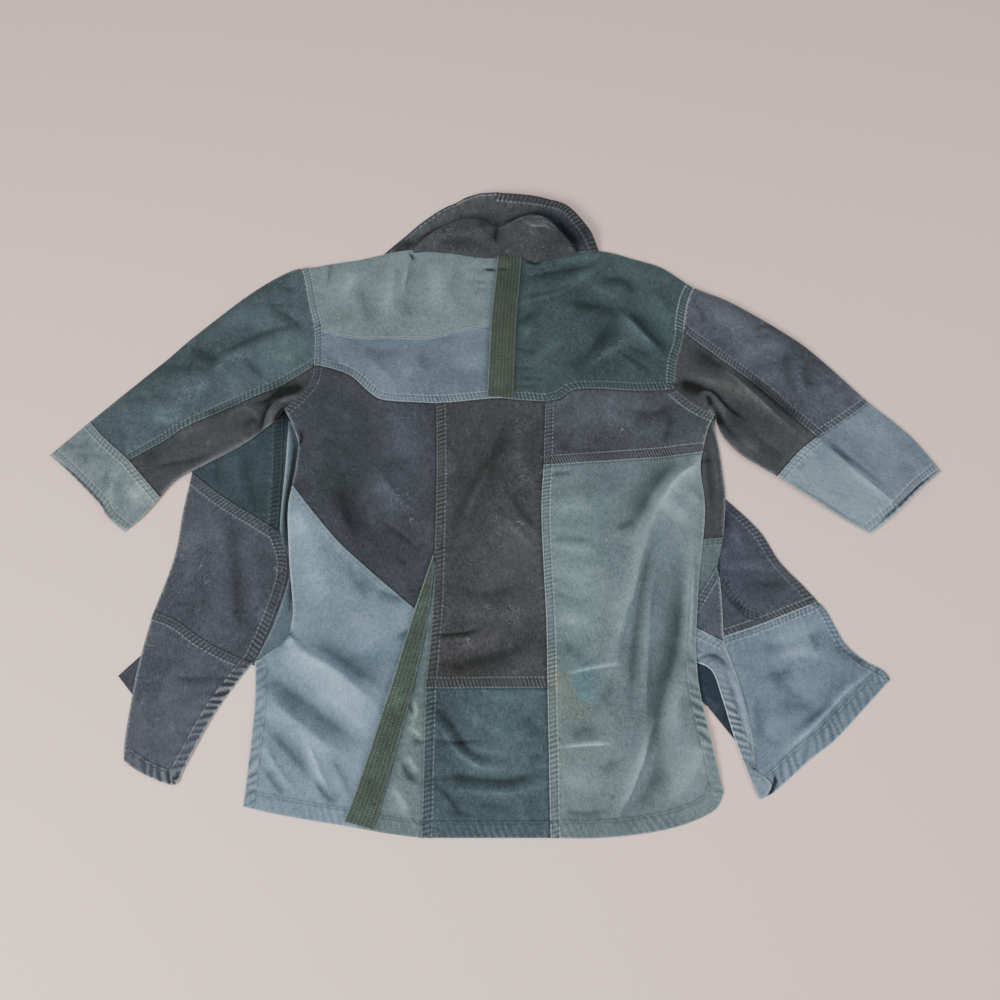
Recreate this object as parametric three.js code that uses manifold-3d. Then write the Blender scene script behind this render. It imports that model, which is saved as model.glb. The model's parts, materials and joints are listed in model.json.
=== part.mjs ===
// Patched jacket of worn cotton, three-quarter sleeves and side vents, laid flat with its back up.
//
// Frame: millimetres, +X to the wearer's right, +Y towards the collar, +Z up from the surface.
// The cloth lies in layers. The front panels are on the surface, spread outwards below the arms.
// The folded side panels lie on them, and the patchwork back lies on top. Each sleeve is a tube
// pressed flat, and the collar is turned up beyond the yoke.
//
// Every piece is cut from a layer by its own outline. Two pieces that are sewn together share
// their seam line, and each stops half a seam gap short of it.
import * as THREE from 'three';
import { mergeVertices } from 'three/addons/utils/BufferGeometryUtils.js';
import Module from 'manifold-3d';

const wasm = await Module();
wasm.setup();

// Driving dimensions.
const CLOTH = 1.5; // one layer of worn twill
const SEAM_GAP = 0.3; // clearance between two pieces
const LAYER = CLOTH + SEAM_GAP; // rise from one layer to the next
const BACK_REST = 2 * LAYER; // the back lies on the fronts and the side panels
const COLLAR_CLOTH = 2.6; // the collar leaf is two layers sewn together
const ROLL = 2; // outer radius of the cloth where a sleeve is folded flat
const HEM_Y = -463; // hem at the centre back
const NECK_Y = 352; // yoke edge at the centre back
const YOKE_Y = 110; // yoke seam at the centre back
const CENTRE_LEFT = -80; // seams on each side of the centre panels
const CENTRE_RIGHT = 67;
const CROSS_Y = -286; // seam across the centre panels
const VENT_Y = -253; // top of the side vents
const DATUM = [0.5, 1.7]; // from the middle of the drawing to the middle of the laid-out jacket

// Fineness of the faceted cloth.
const CELL = 47; // grid of a layer
const COLLAR_CELL = 22;
const CURVE_STEP = 28; // spacing of points along a seam
const STATIONS = 11; // sections along a sleeve
const ACROSS_TOP = 4; // steps across a sleeve's upper wall
const ACROSS_UNDER = 2; // steps across its lower wall

const COLOURS = {
  sage: 0x808f8c,
  blueGrey: 0x707d87,
  darkGreen: 0x4b5f5c,
  charcoal: 0x4b4b52,
  paleBlue: 0x788a91,
  brown: 0x464442,
  teal: 0x425658,
  sageGreen: 0x6c7d7d,
  oliveTape: 0x4e5434,
  oliveBrown: 0x484640,
  navy: 0x2b3640,
};

// ---------------------------------------------------------------- seams and edges

// A seam or edge is a smooth line through a few places.
function line(...places) {
  return new THREE.SplineCurve(places.map(([x, y]) => new THREE.Vector2(x, y)));
}

function pointsAlong(curve) {
  const straight = curve.points.length === 2;
  const steps = straight ? 1 : Math.max(2, Math.round(curve.getLength() / CURVE_STEP));
  return curve.getSpacedPoints(steps);
}

function back(curve) {
  return pointsAlong(curve).reverse();
}

// An outline is a ring of lines and single places, each starting where the last one ends.
function outline(...parts) {
  const ring = [];
  for (const part of parts) {
    for (const point of part instanceof THREE.Curve ? pointsAlong(part) : part) {
      const place = point.isVector2 ? point : new THREE.Vector2(...point);
      const last = ring.at(-1);
      if (!last || last.distanceTo(place) > SEAM_GAP) ring.push(place);
    }
  }
  if (ring[0].distanceTo(ring.at(-1)) <= SEAM_GAP) ring.pop();
  return THREE.ShapeUtils.isClockWise(ring) ? ring.reverse() : ring;
}

// The outline drawn in by a distance, so that neighbours keep their gap.
function drawnIn(ring, distance) {
  const longestCorner = 3;
  return ring.map((place, i) => {
    const before = ring.at(i - 1);
    const after = ring[(i + 1) % ring.length];
    const into = place.clone().sub(before).normalize();
    const out = after.clone().sub(place).normalize();
    const normal = new THREE.Vector2(-into.y - out.y, into.x + out.x).normalize();
    const halfAngle = Math.abs(-into.y * normal.x + into.x * normal.y);
    const reach = distance / Math.max(halfAngle, 1 / longestCorner);
    return place.clone().addScaledVector(normal, reach);
  });
}

// ---------------------------------------------------------------- solids

function solidFrom(positions, triangles) {
  const vertProperties = new Float32Array(positions.flat());
  const triVerts = new Uint32Array(triangles.flat());
  return new wasm.Manifold(new wasm.Mesh({ numProp: 3, vertProperties, triVerts }));
}

// A layer of cloth over a rectangle, with its underside at a height given by a function.
function layer([left, right, bottom, top], cell, underside, thickness) {
  const columns = Math.ceil((right - left) / cell);
  const rows = Math.ceil((top - bottom) / cell);
  const faces = 2;
  const positions = [];
  const index = (i, j, face) => (j * (columns + 1) + i) * faces + face;
  for (let j = 0; j <= rows; j += 1) {
    for (let i = 0; i <= columns; i += 1) {
      const x = left + ((right - left) * i) / columns;
      const y = bottom + ((top - bottom) * j) / rows;
      const z = underside(x, y);
      positions.push([x, y, z], [x, y, z + thickness]);
    }
  }
  const triangles = [];
  const quad = (a, b, c, d) => triangles.push([a, b, c], [a, c, d]);
  for (let j = 0; j < rows; j += 1) {
    for (let i = 0; i < columns; i += 1) {
      quad(index(i, j, 1), index(i + 1, j, 1), index(i + 1, j + 1, 1), index(i, j + 1, 1));
      quad(index(i, j, 0), index(i, j + 1, 0), index(i + 1, j + 1, 0), index(i + 1, j, 0));
    }
  }
  for (let i = 0; i < columns; i += 1) {
    quad(index(i, 0, 0), index(i + 1, 0, 0), index(i + 1, 0, 1), index(i, 0, 1));
    quad(index(i + 1, rows, 0), index(i, rows, 0), index(i, rows, 1), index(i + 1, rows, 1));
  }
  for (let j = 0; j < rows; j += 1) {
    quad(index(0, j + 1, 0), index(0, j, 0), index(0, j, 1), index(0, j + 1, 1));
    quad(index(columns, j, 0), index(columns, j + 1, 0), index(columns, j + 1, 1), index(columns, j, 1));
  }
  return solidFrom(positions, triangles);
}

// A plan point between four edges: s runs along the sleeve, t across it.
function between(nearEnd, farEnd, firstEdge, secondEdge) {
  return (s, t) => {
    const near = nearEnd.getPointAt(t);
    const far = farEnd.getPointAt(t);
    const first = firstEdge.getPointAt(s);
    const second = secondEdge.getPointAt(s);
    const point = new THREE.Vector2();
    point.addScaledVector(near, 1 - s).addScaledVector(far, s);
    point.addScaledVector(first, 1 - t).addScaledVector(second, t);
    point.addScaledVector(nearEnd.getPointAt(0), -(1 - s) * (1 - t));
    point.addScaledVector(nearEnd.getPointAt(1), -(1 - s) * t);
    point.addScaledVector(farEnd.getPointAt(0), -s * (1 - t));
    point.addScaledVector(farEnd.getPointAt(1), -s * t);
    return point;
  };
}

// One ring round a flattened sleeve. Depth 0 is the outer face, and CLOTH is the inner face.
function sleeveRing(plan, s, depth, rest, lift) {
  const edgeInset = ROLL / plan(s, 0).distanceTo(plan(s, 1));
  const foldAngles = [45, 90, 135].map(THREE.MathUtils.degToRad);
  const radius = ROLL - depth;
  const ring = [];
  const wall = (t, upper) => {
    const { x, y } = plan(s, t);
    const height = upper ? 2 * ROLL - depth + lift(x, y, t) : depth;
    ring.push([x, y, rest(x, y) + height]);
  };
  const fold = (t, edge) => {
    const centre = plan(s, t);
    const outward = plan(s, edge).sub(centre).normalize();
    for (const angle of edge ? foldAngles : [...foldAngles].reverse()) {
      const place = centre.clone().addScaledVector(outward, radius * Math.sin(angle));
      ring.push([place.x, place.y, rest(centre.x, centre.y) + ROLL + radius * Math.cos(angle)]);
    }
  };
  const tAt = (share) => THREE.MathUtils.lerp(edgeInset, 1 - edgeInset, share);
  for (let i = 0; i <= ACROSS_TOP; i += 1) wall(tAt(i / ACROSS_TOP), true);
  fold(1 - edgeInset, 1);
  for (let i = ACROSS_UNDER; i >= 0; i -= 1) wall(tAt(i / ACROSS_UNDER), false);
  fold(edgeInset, 0);
  return ring;
}

// The whole sleeve as one tube, open at the armhole and at the cuff.
function sleeveTube(plan, rest, lift) {
  const positions = [];
  const count = sleeveRing(plan, 0, 0, rest, lift).length;
  for (let k = 0; k <= STATIONS; k += 1) {
    const s = k / STATIONS;
    positions.push(...sleeveRing(plan, s, 0, rest, lift), ...sleeveRing(plan, s, CLOTH, rest, lift));
  }
  const index = (k, i, inner) => (k * 2 + inner) * count + (i % count);
  const triangles = [];
  const quad = (a, b, c, d) => triangles.push([a, b, c], [a, c, d]);
  for (let i = 0; i < count; i += 1) {
    for (let k = 0; k < STATIONS; k += 1) {
      quad(index(k, i, 0), index(k + 1, i, 0), index(k + 1, i + 1, 0), index(k, i + 1, 0));
      quad(index(k, i + 1, 1), index(k + 1, i + 1, 1), index(k + 1, i, 1), index(k, i, 1));
    }
    quad(index(0, i, 1), index(0, i, 0), index(0, i + 1, 0), index(0, i + 1, 1));
    quad(index(STATIONS, i, 0), index(STATIONS, i, 1), index(STATIONS, i + 1, 1), index(STATIONS, i + 1, 0));
  }
  const solid = solidFrom(positions, triangles);
  return solid.volume() > 0 ? solid : solidFrom(positions, triangles.map(([a, b, c]) => [a, c, b]));
}

function prism(ring) {
  const depth = 200;
  const geometry = new THREE.ExtrudeGeometry(new THREE.Shape(ring), { depth, bevelEnabled: false });
  geometry.deleteAttribute('normal');
  geometry.deleteAttribute('uv');
  const merged = mergeVertices(geometry.translate(0, 0, -depth / 2));
  const vertProperties = new Float32Array(merged.attributes.position.array);
  const triVerts = new Uint32Array(merged.index.array);
  return new wasm.Manifold(new wasm.Mesh({ numProp: 3, vertProperties, triVerts }));
}

const jacket = new THREE.Group();

function addPiece(name, colour, solid) {
  const { vertProperties, triVerts } = solid.getMesh();
  const geometry = new THREE.BufferGeometry();
  geometry.setAttribute('position', new THREE.BufferAttribute(vertProperties, 3));
  geometry.setIndex(new THREE.BufferAttribute(triVerts, 1));
  const material = new THREE.MeshStandardMaterial({ color: colour, roughness: 0.9, metalness: 0 });
  const mesh = new THREE.Mesh(geometry, material);
  mesh.name = name;
  jacket.add(mesh);
}

function cutPiece(name, colour, cloth, ring) {
  addPiece(name, colour, cloth.intersect(prism(drawnIn(ring, SEAM_GAP / 2))));
}

// ---------------------------------------------------------------- heights

const { smoothstep } = THREE.MathUtils;

// A fold is a soft ridge of a width and a height along a line of places.
function foldHeight(folds, x, y) {
  const place = new THREE.Vector2(x, y);
  let height = 0;
  for (const { along, width, rise } of folds) {
    let nearest = Infinity;
    for (let i = 1; i < along.length; i += 1) {
      const start = new THREE.Vector2(...along[i - 1]);
      const run = new THREE.Vector2(...along[i]).sub(start);
      const share = THREE.MathUtils.clamp(place.clone().sub(start).dot(run) / run.lengthSq(), 0, 1);
      nearest = Math.min(nearest, place.distanceTo(start.addScaledVector(run, share)));
    }
    height += rise * Math.exp(-((nearest / width) ** 2));
  }
  return height;
}

const BACK_FOLDS = [
  { along: [[276, 14], [214, -36], [184, -147], [155, -226]], width: 30, rise: 7 },
  { along: [[202, -150], [193, -350], [152, -435]], width: 32, rise: 6 },
  { along: [[-250, -230], [-197, -262], [-165, -310]], width: 20, rise: 6 },
  { along: [[-270, -330], [-215, -420]], width: 24, rise: 4 },
  { along: [[-262, 20], [-205, -60], [-130, -120]], width: 30, rise: 4 },
  { along: [[45, 60], [-45, -60]], width: 30, rise: 3 },
  { along: [[-40, -350], [50, -372]], width: 22, rise: 3 },
  { along: [[170, 300], [215, 250], [240, 170]], width: 26, rise: 6 },
  { along: [[60, 235], [120, 270], [165, 305]], width: 22, rise: 5 },
  { along: [[-145, 340], [-150, 240]], width: 18, rise: 4 },
  { along: [[-30, 180], [-150, 170]], width: 26, rise: 3 },
  { along: [[120, 60], [210, 90]], width: 28, rise: 3 },
];

function backUnderside(x, y) {
  const crown = 4;
  const crownReach = 300;
  const overFronts = smoothstep(y, -430, -350);
  const inside = Math.max(0, 1 - (x / crownReach) ** 4) * smoothstep(-y, -360, -300);
  return overFronts * (BACK_REST + crown * inside) + foldHeight(BACK_FOLDS, x, y) * smoothstep(y, -455, -400);
}

// The left front's outer edge is folded under, and the cloth lies on that fold.
const FRONT_FOLD = { edgeX: -409, lean: 0.117, width: 62, drop: 30 };

function insideFold(x, y) {
  return x - (FRONT_FOLD.edgeX + FRONT_FOLD.lean * y);
}

function leftFrontUnderside(x, y) {
  const dropStart = FRONT_FOLD.width + FRONT_FOLD.drop;
  return LAYER * (1 - smoothstep(insideFold(x, y), dropStart, dropStart + FRONT_FOLD.drop));
}

// The sleeves rest on the surface at the cuff, and on the front beside the armhole.
function sleeveRest(x) {
  return BACK_REST * (1 - smoothstep(Math.abs(x), 430, 470));
}

const SLEEVE_FOLDS = [
  { along: [[-285, 232], [-360, 205], [-420, 165]], width: 22, rise: 4 },
  { along: [[-300, 180], [-380, 150]], width: 18, rise: 3 },
  { along: [[-330, 105], [-430, 45]], width: 20, rise: 3 },
  { along: [[300, 230], [380, 205], [470, 140]], width: 22, rise: 4 },
  { along: [[318, 150], [372, 84], [425, 40]], width: 18, rise: 5 },
];

function sleeveLift(x, y, t) {
  const crown = 2.4;
  const flatAtEdges = 4 * t * (1 - t);
  return flatAtEdges * (crown + foldHeight(SLEEVE_FOLDS, x, y));
}

// ---------------------------------------------------------------- places and seam lines

const leftShoulder = [-283, 329];
const leftYokeSplit = [-257, 230];
const leftYokeCorner = [-253, 167];
const leftUnderarm = [-290, 99];
const rightShoulder = [290, 296];
const rightSleeveSeam = [270, 222];
const rightYokeCorner = [250, 130];
const rightUnderarm = [304, 91];
const neckCentre = [22, NECK_Y];
const yokeCentre = [9, YOKE_Y + 6];
const yokeSplitCentre = [13, 238];
const centreLeftTop = [CENTRE_LEFT, YOKE_Y - 2];
const centreRightTop = [CENTRE_RIGHT + 4, YOKE_Y];
const centreLeftCross = [CENTRE_LEFT - 4, CROSS_Y - 1];
const centreRightCross = [CENTRE_RIGHT, CROSS_Y];
const centreLeftHem = [CENTRE_LEFT - 5, HEM_Y];
const centreRightHem = [CENTRE_RIGHT + 1, HEM_Y];
const tapeTop = [-77, -104];
const tapeAtDiagonal = [-93, -190];
const tapeHem = [-160, HEM_Y + 11];
const leftDiagonalEdge = [-271, -13];
const rightCrossEdge = [284, 35];
const rightCrossCentre = [CENTRE_RIGHT, 13];
const leftHemCorner = [-300, -427];
const rightHemCorner = [277, -410];

const shoulderLeft = line(leftShoulder, [-241, 339], [-198, 347], [-131, 363], [-66, 361], [-20, NECK_Y], neckCentre);
const shoulderRight = line(neckCentre, [52, 349], [85, 352], [151, 363], [214, 345], [250, 330], rightShoulder);
const armholeLeftTop = line(leftShoulder, [-276, 308], [-268, 272], leftYokeSplit);
const armholeLeftMiddle = line(leftYokeSplit, [-254, 200], leftYokeCorner);
const armholeLeftLow = line(leftYokeCorner, [-255, 144], [-266, 125], leftUnderarm);
const armholeRightTop = line(rightShoulder, [280, 274], [273, 245], rightSleeveSeam);
const armholeRightMiddle = line(rightSleeveSeam, [265, 200], [256, 172], rightYokeCorner);
const armholeRightLow = line(rightYokeCorner, [264, 116], [284, 101], rightUnderarm);
const yokeSeamLeft = line(
  leftYokeCorner, [-231, 164], [-202, 152], [-173, 125], [-150, 113], centreLeftTop,
);
const yokeSeamCentreLeft = line(centreLeftTop, [-54, 110], [-20, 114], yokeCentre);
const yokeSeamCentreRight = line(yokeCentre, [36, 113], centreRightTop);
const yokeSeamRight = line(centreRightTop, [91, 116], [108, 128], [133, 131], [203, 128], rightYokeCorner);
const yokeSplit = line(leftYokeSplit, [-206, 216], [-150, 214], [-92, 214], [-50, 225], yokeSplitCentre);
const yokeCentreTop = line(neckCentre, [19, 300], yokeSplitCentre);
const yokeCentreLow = line(yokeSplitCentre, [11, 175], yokeCentre);
const centreLeftUpper = line(centreLeftTop, [-77, 0], tapeTop);
const centreLeftMiddle = line(tapeTop, [-78, -190], centreLeftCross);
const centreLeftLow = line(centreLeftCross, centreLeftHem);
const centreRightUpper = line(centreRightTop, rightCrossCentre);
const centreRightMiddle = line(rightCrossCentre, [63, -60], [67, -200], centreRightCross);
const centreRightLow = line(centreRightCross, centreRightHem);
const crossSeam = line(centreLeftCross, centreRightCross);
const rightCrossSeam = line(rightCrossCentre, [110, 17], [211, 25], rightCrossEdge);
const leftDiagonal = line(leftDiagonalEdge, [-244, -48], [-202, -97], [-161, -134], [-110, -178], tapeAtDiagonal);
const tapeUpper = line(tapeTop, [-83, -150], tapeAtDiagonal);
const tapeLower = line(tapeAtDiagonal, [-103, -239], [-116, -295], [-140, -386], tapeHem);
const leftSideUpper = line(leftUnderarm, [-279, 78], [-268, 50], [-268, 20], leftDiagonalEdge);
const leftSideLower = line(leftDiagonalEdge, [-274, -50], [-267, -120], [-257, -190], [-262, -226]);
const leftVent = line([-300, VENT_Y], [-296, -320], leftHemCorner);
const rightSideUpper = line(rightUnderarm, [293, 67], rightCrossEdge);
const rightSideLower = line(rightCrossEdge, [279, 10], [281, -50], [266, -147], [257, -220], [255, VENT_Y]);
const rightVent = line([255, VENT_Y], [258, -300], rightHemCorner);
const hemLeft = line(leftHemCorner, [-254, -437], tapeHem);
const hemTape = line(tapeHem, [-125, HEM_Y + 5], centreLeftHem);
const hemCentre = line(centreLeftHem, centreRightHem);
const hemRight = line(centreRightHem, [126, -463], [186, -457], [230, -447], [265, -431], rightHemCorner);

// ---------------------------------------------------------------- back

const backArea = [-312, 312, HEM_Y - 7, 374];
const backCloth = layer(backArea, CELL, backUnderside, CLOTH);
const backPieces = [
  ['yoke_left_upper', COLOURS.sage,
    [shoulderLeft, yokeCentreTop, back(yokeSplit), back(armholeLeftTop)]],
  ['yoke_left_lower', COLOURS.blueGrey,
    [yokeSplit, yokeCentreLow, back(yokeSeamCentreLeft), back(yokeSeamLeft), back(armholeLeftMiddle)]],
  ['yoke_right', COLOURS.darkGreen,
    [shoulderRight, armholeRightTop, armholeRightMiddle, back(yokeSeamRight), back(yokeSeamCentreRight),
      back(yokeCentreLow), back(yokeCentreTop)]],
  ['back_left_upper', COLOURS.charcoal,
    [yokeSeamLeft, centreLeftUpper, tapeUpper, back(leftDiagonal), back(leftSideUpper), back(armholeLeftLow)]],
  ['back_left_lower', COLOURS.paleBlue,
    [leftDiagonal, tapeLower, back(hemLeft), back(leftVent), back(leftSideLower)]],
  ['back_sliver', COLOURS.sage,
    [centreLeftMiddle, centreLeftLow, back(hemTape), back(tapeLower), back(tapeUpper)]],
  ['back_centre_upper', COLOURS.brown,
    [yokeSeamCentreLeft, yokeSeamCentreRight, centreRightUpper, centreRightMiddle, back(crossSeam),
      back(centreLeftMiddle), back(centreLeftUpper)]],
  ['back_centre_lower', COLOURS.teal,
    [crossSeam, centreRightLow, back(hemCentre), back(centreLeftLow)]],
  ['back_right_upper', COLOURS.charcoal,
    [yokeSeamRight, armholeRightLow, rightSideUpper, back(rightCrossSeam), back(centreRightUpper)]],
  ['back_right_lower', COLOURS.sageGreen,
    [rightCrossSeam, rightSideLower, rightVent, back(hemRight), back(centreRightLow),
      back(centreRightMiddle)]],
];
for (const [name, colour, edges] of backPieces) cutPiece(name, colour, backCloth, outline(...edges));

// ---------------------------------------------------------------- tapes laid on the back

const tapeCloth = layer(backArea, CELL, (x, y) => backUnderside(x, y) + LAYER, CLOTH);
const yokeTape = outline(
  line([4, NECK_Y - 2], [1, 307], [-5, 240], [-10, YOKE_Y + 8]),
  line([27, YOKE_Y + 6], [32, 240], [37, 307], [40, NECK_Y - 2]),
);
const backTape = outline(
  line([-79, -112], [-105, -200], [-131, -295], [-158, -386], [-178, -444]),
  line([-141, -453], [-122, -380], [-100, -289], [-84, -200], [-77, -125]),
);
cutPiece('yoke_tape', COLOURS.oliveTape, tapeCloth, yokeTape);
cutPiece('back_tape', COLOURS.oliveTape, tapeCloth, backTape);

// ---------------------------------------------------------------- fronts on the surface

// Right front below the arm: the line under the folded side panel where its two cloths meet.
const rightUnderSide = line([298, -20], [296, -120], [281, -224]);
const rightUnderFacing = line([281, -224], [285, -262], [297, -310], [307, -350], [314, -386]);
const rightFrontSeam = line([281, -224], [336, -206], [380, -189], [418, -174]);
const rightFrontEdgeTop = line([298, -20], [313, -34], [352, -77], [374, -119], [403, -154], [418, -174]);
const rightFrontEdgeLow = line([418, -174], [428, -186], [445, -226], [467, -249], [490, -263], [497, -275]);
const rightFrontHem = line([497, -275], [471, -300], [420, -348], [384, -374], [339, -410], [321, -418]);

const floorCloth = layer([-480, 510, -430, 360], 990, () => 0, CLOTH);
const leftChest = outline(
  line([-8, -330], [-8, 150], [-45, 260], [-95, 342]),
  line([-200, 330], [-262, 312], [-250, 200], [-262, 132], [-280, 90]),
  line([-280, 60], [-278, -70], [-262, -130], [-284, -240], [-286, -330]),
);
const rightChest = outline(
  line([8, -316], [8, 150], [45, 260], [95, 342]),
  line([200, 326], [270, 285], [246, 130], [290, 92]),
  line([298, 30], [298, -20]),
  rightUnderSide,
  rightUnderFacing,
  [[296, -349], [264, -306], [236, -274]],
);
cutPiece('front_left_chest', COLOURS.charcoal, floorCloth, leftChest);
cutPiece('front_right_chest', COLOURS.navy, floorCloth, rightChest);
cutPiece('front_right_upper', COLOURS.charcoal, floorCloth,
  outline(rightFrontEdgeTop, back(rightFrontSeam), back(rightUnderSide)));
cutPiece('front_right_lower', COLOURS.blueGrey, floorCloth,
  outline(rightFrontSeam, rightFrontEdgeLow, rightFrontHem, back(rightUnderFacing)));

// The left front's edge turned under, with the corner of its hem showing beside the fold.
const turnedUnder = outline(
  line([-400, -20], [-411, -100], [-426, -180], [-442, -240]),
  [[-471, -270], [-454, -289]],
  line([-444, -300], [-400, -305], [-370, -180], [-357, -40]),
);
cutPiece('front_left_turned_edge', COLOURS.charcoal, floorCloth, turnedUnder);

// ---------------------------------------------------------------- left front, over its fold

const leftFrontTop = [-409, 5];
const leftFrontMiddle = [-437, -188];
const leftFrontVentTop = [-304, VENT_Y - 1];
const leftFrontSeamEnd = [-287, -77];
const leftFrontSeam = line(leftFrontTop, [-366, -28], [-313, -61], leftFrontSeamEnd);
const leftFrontLowSeam = line(leftFrontMiddle, [-406, -200], [-374, -222], [-338, -241], leftFrontVentTop);
const leftFrontFold = line(leftFrontTop, [-415, -50], [-419, -115], leftFrontMiddle);
const leftFrontFoldLow = line(leftFrontMiddle, [-447, -255], [-452, -340], [-450, -374]);
const leftFrontHem = line([-450, -374], [-426, -389], [-386, -403], [-378, -391]);
const leftFrontVent = line([-378, -391], [-344, -316], leftFrontVentTop);
const leftFrontSide = line(leftFrontSeamEnd, [-273, -110], [-271, -145], [-286, -204], leftFrontVentTop);

const leftFrontCloth = layer([-470, -260, -410, 110], 26, leftFrontUnderside, CLOTH);
cutPiece('front_left_upper', COLOURS.teal, leftFrontCloth,
  outline(leftFrontSeam, line(leftFrontSeamEnd, [-288, 0], [-292, 90]), [[-330, 80], [-408, 34]]));
cutPiece('front_left_middle', COLOURS.charcoal, leftFrontCloth,
  outline(leftFrontSeam, leftFrontSide, back(leftFrontLowSeam), back(leftFrontFold)));
cutPiece('front_left_lower', COLOURS.charcoal, leftFrontCloth,
  outline(leftFrontLowSeam, back(leftFrontVent), back(leftFrontHem), back(leftFrontFoldLow)));

// ---------------------------------------------------------------- folded side panels

const sideCloth = layer([-310, 345, -425, 110], 655, () => LAYER, CLOTH);
const rightSideSeam = line([262, -90], [303, -87]);
const rightSideDiagonal = line([291, -128], [252, -187]);
const rightSideLowSeam = line([248, -204], [292, -227]);
cutPiece('side_left', COLOURS.paleBlue, sideCloth, outline(
  line([-284, 84], [-283, 20], [-283, -76], [-269, -115], [-267, -146], [-281, -204], [-298, -246]),
  line([-262, -240], [-246, -160], [-256, -40], [-256, 20], [-270, 70]),
));
cutPiece('side_right_upper', COLOURS.oliveBrown, sideCloth, outline(
  line([300, 78], [307, 40], [306, 0], [309, -32], [303, -87]), back(rightSideSeam), [[268, 0], [288, 70]],
));
cutPiece('side_right_middle', COLOURS.sage, sideCloth, outline(
  rightSideSeam, [[297, -108]], rightSideDiagonal,
));
cutPiece('side_right_lower', COLOURS.charcoal, sideCloth, outline(
  rightSideDiagonal, rightSideLowSeam, line([292, -227], [294, -158], [291, -128]),
));
cutPiece('side_right_facing', COLOURS.blueGrey, sideCloth, outline(
  rightSideLowSeam,
  line([292, -227], [305, -272], [312, -305], [317, -345], [318, -386]),
  [[335, -402], [321, -419], [311, -400]],
  line([311, -400], [296, -350], [284, -298], [274, -264], [255, VENT_Y]),
));

// ---------------------------------------------------------------- sleeves

// Each sleeve tube starts inside the armhole, and its pieces are cut off along the armhole seam.
const leftCuffTop = [-559, 82];
const leftCuffMiddle = [-495, 22];
const leftCuffUnder = [-447, -31];
const leftSleevePlan = between(
  line([-240, 345], [-222, 240], [-225, 160], [-262, 118]),
  line([-606, 32], [-573, 4], [-527, -40], [-512, -60], [-488, -79]),
  line([-240, 345], leftShoulder, [-310, 319], [-367, 275], [-473, 170], leftCuffTop, [-606, 32]),
  line([-262, 118], leftUnderarm, [-304, 80], [-348, 42], [-423, -3], leftCuffUnder, [-466, -58], [-488, -79]),
);
const rightCuffTop = [521, 112];
const rightCuffMiddle = [441, 56];
const rightCuffUnder = [382, -1];
const rightSleevePlan = between(
  line([250, 330], [235, 240], [222, 150], [262, 118]),
  line([605, 7], [572, -19], [523, -64], [499, -82]),
  line([250, 330], rightShoulder, [340, 273], [407, 227], [461, 181], rightCuffTop, [568, 65], [595, 26], [605, 7]),
  line([262, 118], rightUnderarm, [311, 62], [333, 33], [364, 11], rightCuffUnder, [461, -59], [499, -82]),
);
const leftTube = sleeveTube(leftSleevePlan, sleeveRest, sleeveLift);
const rightTube = sleeveTube(rightSleevePlan, sleeveRest, sleeveLift);

// Beyond its folded edges a cutting line only has to clear the tube.
const leftSleeveSeam = line(leftYokeCorner, [-301, 134], [-353, 108], [-406, 80], [-457, 47], leftCuffMiddle);
const leftCuffSeamTop = line(leftCuffMiddle, [-532, 54], leftCuffTop, [-572, 98]);
const leftCuffSeamLow = line(leftCuffMiddle, [-477, 2], leftCuffUnder, [-436, -44]);
const rightSleeveLine = line(rightSleeveSeam, [318, 178], [369, 134], [419, 80], rightCuffMiddle);
const rightCuffSeamTop = line(rightCuffMiddle, [490, 88], rightCuffTop, [536, 124]);
const rightCuffSeamLow = line(rightCuffMiddle, [412, 32], rightCuffUnder, [366, -17]);
const rightCuffFold = line(rightCuffMiddle, [480, 18], [524, -28], [535, -45], [548, -66]);

cutPiece('sleeve_left_upper', COLOURS.teal, leftTube,
  outline(leftSleeveSeam, leftCuffSeamTop, [[-560, 250], [-290, 370]], armholeLeftTop, armholeLeftMiddle));
cutPiece('sleeve_left_under', COLOURS.oliveBrown, leftTube,
  outline(leftSleeveSeam, leftCuffSeamLow, [[-380, -90], [-290, 60]], back(armholeLeftLow)));
cutPiece('sleeve_left_cuff', COLOURS.sage, leftTube,
  outline(back(leftCuffSeamTop), leftCuffSeamLow, [[-470, -130], [-660, 0], [-640, 110]]));
cutPiece('sleeve_right_upper', COLOURS.charcoal, rightTube,
  outline(rightSleeveLine, rightCuffSeamTop, [[560, 250], [300, 350]], armholeRightTop));
cutPiece('sleeve_right_under', COLOURS.oliveBrown, rightTube,
  outline(rightSleeveLine, rightCuffSeamLow, [[320, -60], [304, 40]], back(armholeRightLow),
    back(armholeRightMiddle)));
cutPiece('sleeve_right_cuff', COLOURS.blueGrey, rightTube,
  outline(back(rightCuffSeamTop), rightCuffFold, [[660, -60], [640, 130]]));
cutPiece('sleeve_right_cuff_fold', COLOURS.paleBlue, rightTube,
  outline(back(rightCuffSeamLow), rightCuffFold, [[500, -120]]));

// ---------------------------------------------------------------- collar

const collarCentre = 3; // the collar's centre seam
const leafRimLeft = line([-163, 362], [-135, 388], [-94, 427], [-52, 451], [-28, 459], [collarCentre, 460]);
const leafRimRight = line([collarCentre, 460], [43, 455], [80, 447], [110, 434], [138, 398], [156, 358]);
const leafFoot = 344;
const standCrestLeft = line([-122, 362], [-100, 382], [-68, 401], [-34, 411], [collarCentre, 401]);
const standCrestRight = line([collarCentre, 401], [24, 406], [52, 418], [78, 412], [100, 390], [124, 358]);

// The leaf lies on the surface beyond the neck, and its rim curls up on the right.
function leafUnderside(x, y) {
  const curl = 14;
  const rimDistance = Math.hypot((x - 5) / 155, (y - leafFoot) / 116);
  return curl * smoothstep(rimDistance, 0.72, 1) * smoothstep(x, -120, 60);
}

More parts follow.
